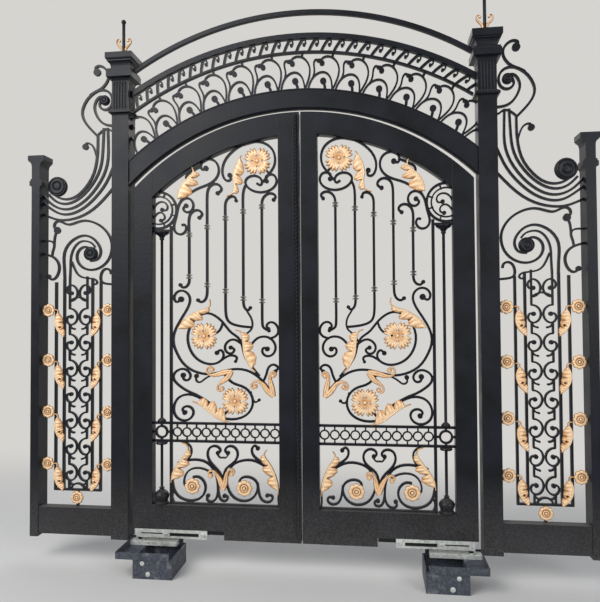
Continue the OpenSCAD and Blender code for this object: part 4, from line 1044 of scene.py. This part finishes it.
def makeStage():
    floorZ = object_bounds()[0][2]
    bend, steps = studio["bend"], studio["bendSteps"]
    turn = studio["back"] - bend
    outline = [(studio["front"], floorZ), (turn, floorZ)]
    for k in range(1, steps + 1):
        a = math.pi / 2 * k / steps
        outline.append((turn + bend * math.sin(a), floorZ + bend * (1 - math.cos(a))))
    outline.append((studio["back"], floorZ + studio["height"]))
    points = [(studio["middle"] + s * studio["half"], y, z) for y, z in outline for s in (-1, 1)]
    faces = [(2 * i, 2 * i + 1, 2 * i + 3, 2 * i + 2) for i in range(len(outline) - 1)]
    mesh = bpy.data.meshes.new("studioSweep")
    mesh.from_pydata(points, [], faces)
    mesh.shade_smooth()
    sweep = bpy.data.objects.new("studioSweep", mesh)
    bpy.context.scene.collection.objects.link(sweep)
    material, tree = startMaterial("matt studio paper")
    where = addNode(tree, "ShaderNodeTexCoord").outputs["Object"]
    fibre = addNode(tree, "ShaderNodeTexNoise", {"Scale": 1000 / studio["fibreMm"], "Detail": 2.0},
                    {"Vector": where}).outputs["Fac"]
    smooth, coarse = studio["paperRoughness"]
    rough = addNode(tree, "ShaderNodeMapRange", {"To Min": smooth, "To Max": coarse},
                    {"Value": fibre}).outputs[0]
    paper = addNode(tree, "ShaderNodeBsdfPrincipled", {"Base Color": linearColour(studio["paper"])},
                    {"Roughness": rough}).outputs[0]
    even = addNode(tree, "ShaderNodeEmission", {"Color": linearColour(studio["paper"])}).outputs[0]
    depth = addNode(tree, "ShaderNodeSeparateXYZ", {}, {0: where}).outputs["Y"]
    far = addNode(tree, "ShaderNodeMapRange", {"interpolation_type": "SMOOTHSTEP",
                                               "From Min": studio["evenFrom"],
                                               "From Max": studio["evenTo"]},
                  {"Value": depth}).outputs[0]
    share = addNode(tree, "ShaderNodeMath", {"operation": "MULTIPLY"},
                    {0: far, 1: seenDirectly(tree)}).outputs[0]
    mixed = addNode(tree, "ShaderNodeMixShader", {}, {0: share, 1: paper, 2: even}).outputs[0]
    addNode(tree, "ShaderNodeOutputMaterial", {}, {0: mixed})
    mesh.materials.append(material)


def makeLight():
    world = bpy.data.worlds.new("plain studio")
    bpy.context.scene.world = world
    world.use_nodes = True
    tree = world.node_tree
    tree.nodes.clear()
    soft = addNode(tree, "ShaderNodeBackground", {"Color": linearColour(studio["sky"]),
                                                  "Strength": studio["skyStrength"]}).outputs[0]
    paper = linearColour(studio["paper"])
    seen = addNode(tree, "ShaderNodeBackground", {"Color": paper}).outputs[0]
    mixed = addNode(tree, "ShaderNodeMixShader", {},
                    {0: seenDirectly(tree), 1: soft, 2: seen}).outputs[0]
    addNode(tree, "ShaderNodeOutputWorld", {}, {0: mixed})
    for name, lamp in studio["lamps"].items():
        light = bpy.data.lights.new(name, "AREA")
        light.size = lamp["size"]
        light.energy = lamp["watts"]
        holder = bpy.data.objects.new(name, light)
        bpy.context.scene.collection.objects.link(holder)
        holder.location = lamp["at"]
        aim = Vector(lamp["to"]) - Vector(lamp["at"])
        holder.rotation_euler = aim.to_track_quat("-Z", "Y").to_euler()


# The photograph's own viewpoint: right of the middle, at eye height; angles in radians
viewpoint = {
    "at": (1.4457, -3.2718, 1.2603),
    "yaw": 0.12506,
    "pitch": 0.02595,
    "roll": 0.00606,
    "lens": 35.404,
    "sensor": 36.0,
}


def makeCamera():
    camera = bpy.data.cameras.new("viewpoint")
    camera.sensor_fit = "HORIZONTAL"
    camera.sensor_width = viewpoint["sensor"]
    camera.lens = viewpoint["lens"]
    holder = bpy.data.objects.new("viewpoint", camera)
    bpy.context.scene.collection.objects.link(holder)
    turn = (Matrix.Rotation(viewpoint["yaw"], 3, "Z") @ Matrix.Rotation(viewpoint["pitch"], 3, "X")
            @ Matrix.Rotation(viewpoint["roll"], 3, "Y"))
    forward = Matrix(((1, 0, 0), (0, 0, -1), (0, 1, 0)))  # looks along +Y with Z up
    holder.matrix_world = Matrix.Translation(viewpoint["at"]) @ (turn @ forward).to_4x4()
    bpy.context.scene.camera = holder


makeStage()
makeLight()
makeCamera()
bpy.context.scene.view_settings.view_transform = "Standard"
print("studio set")
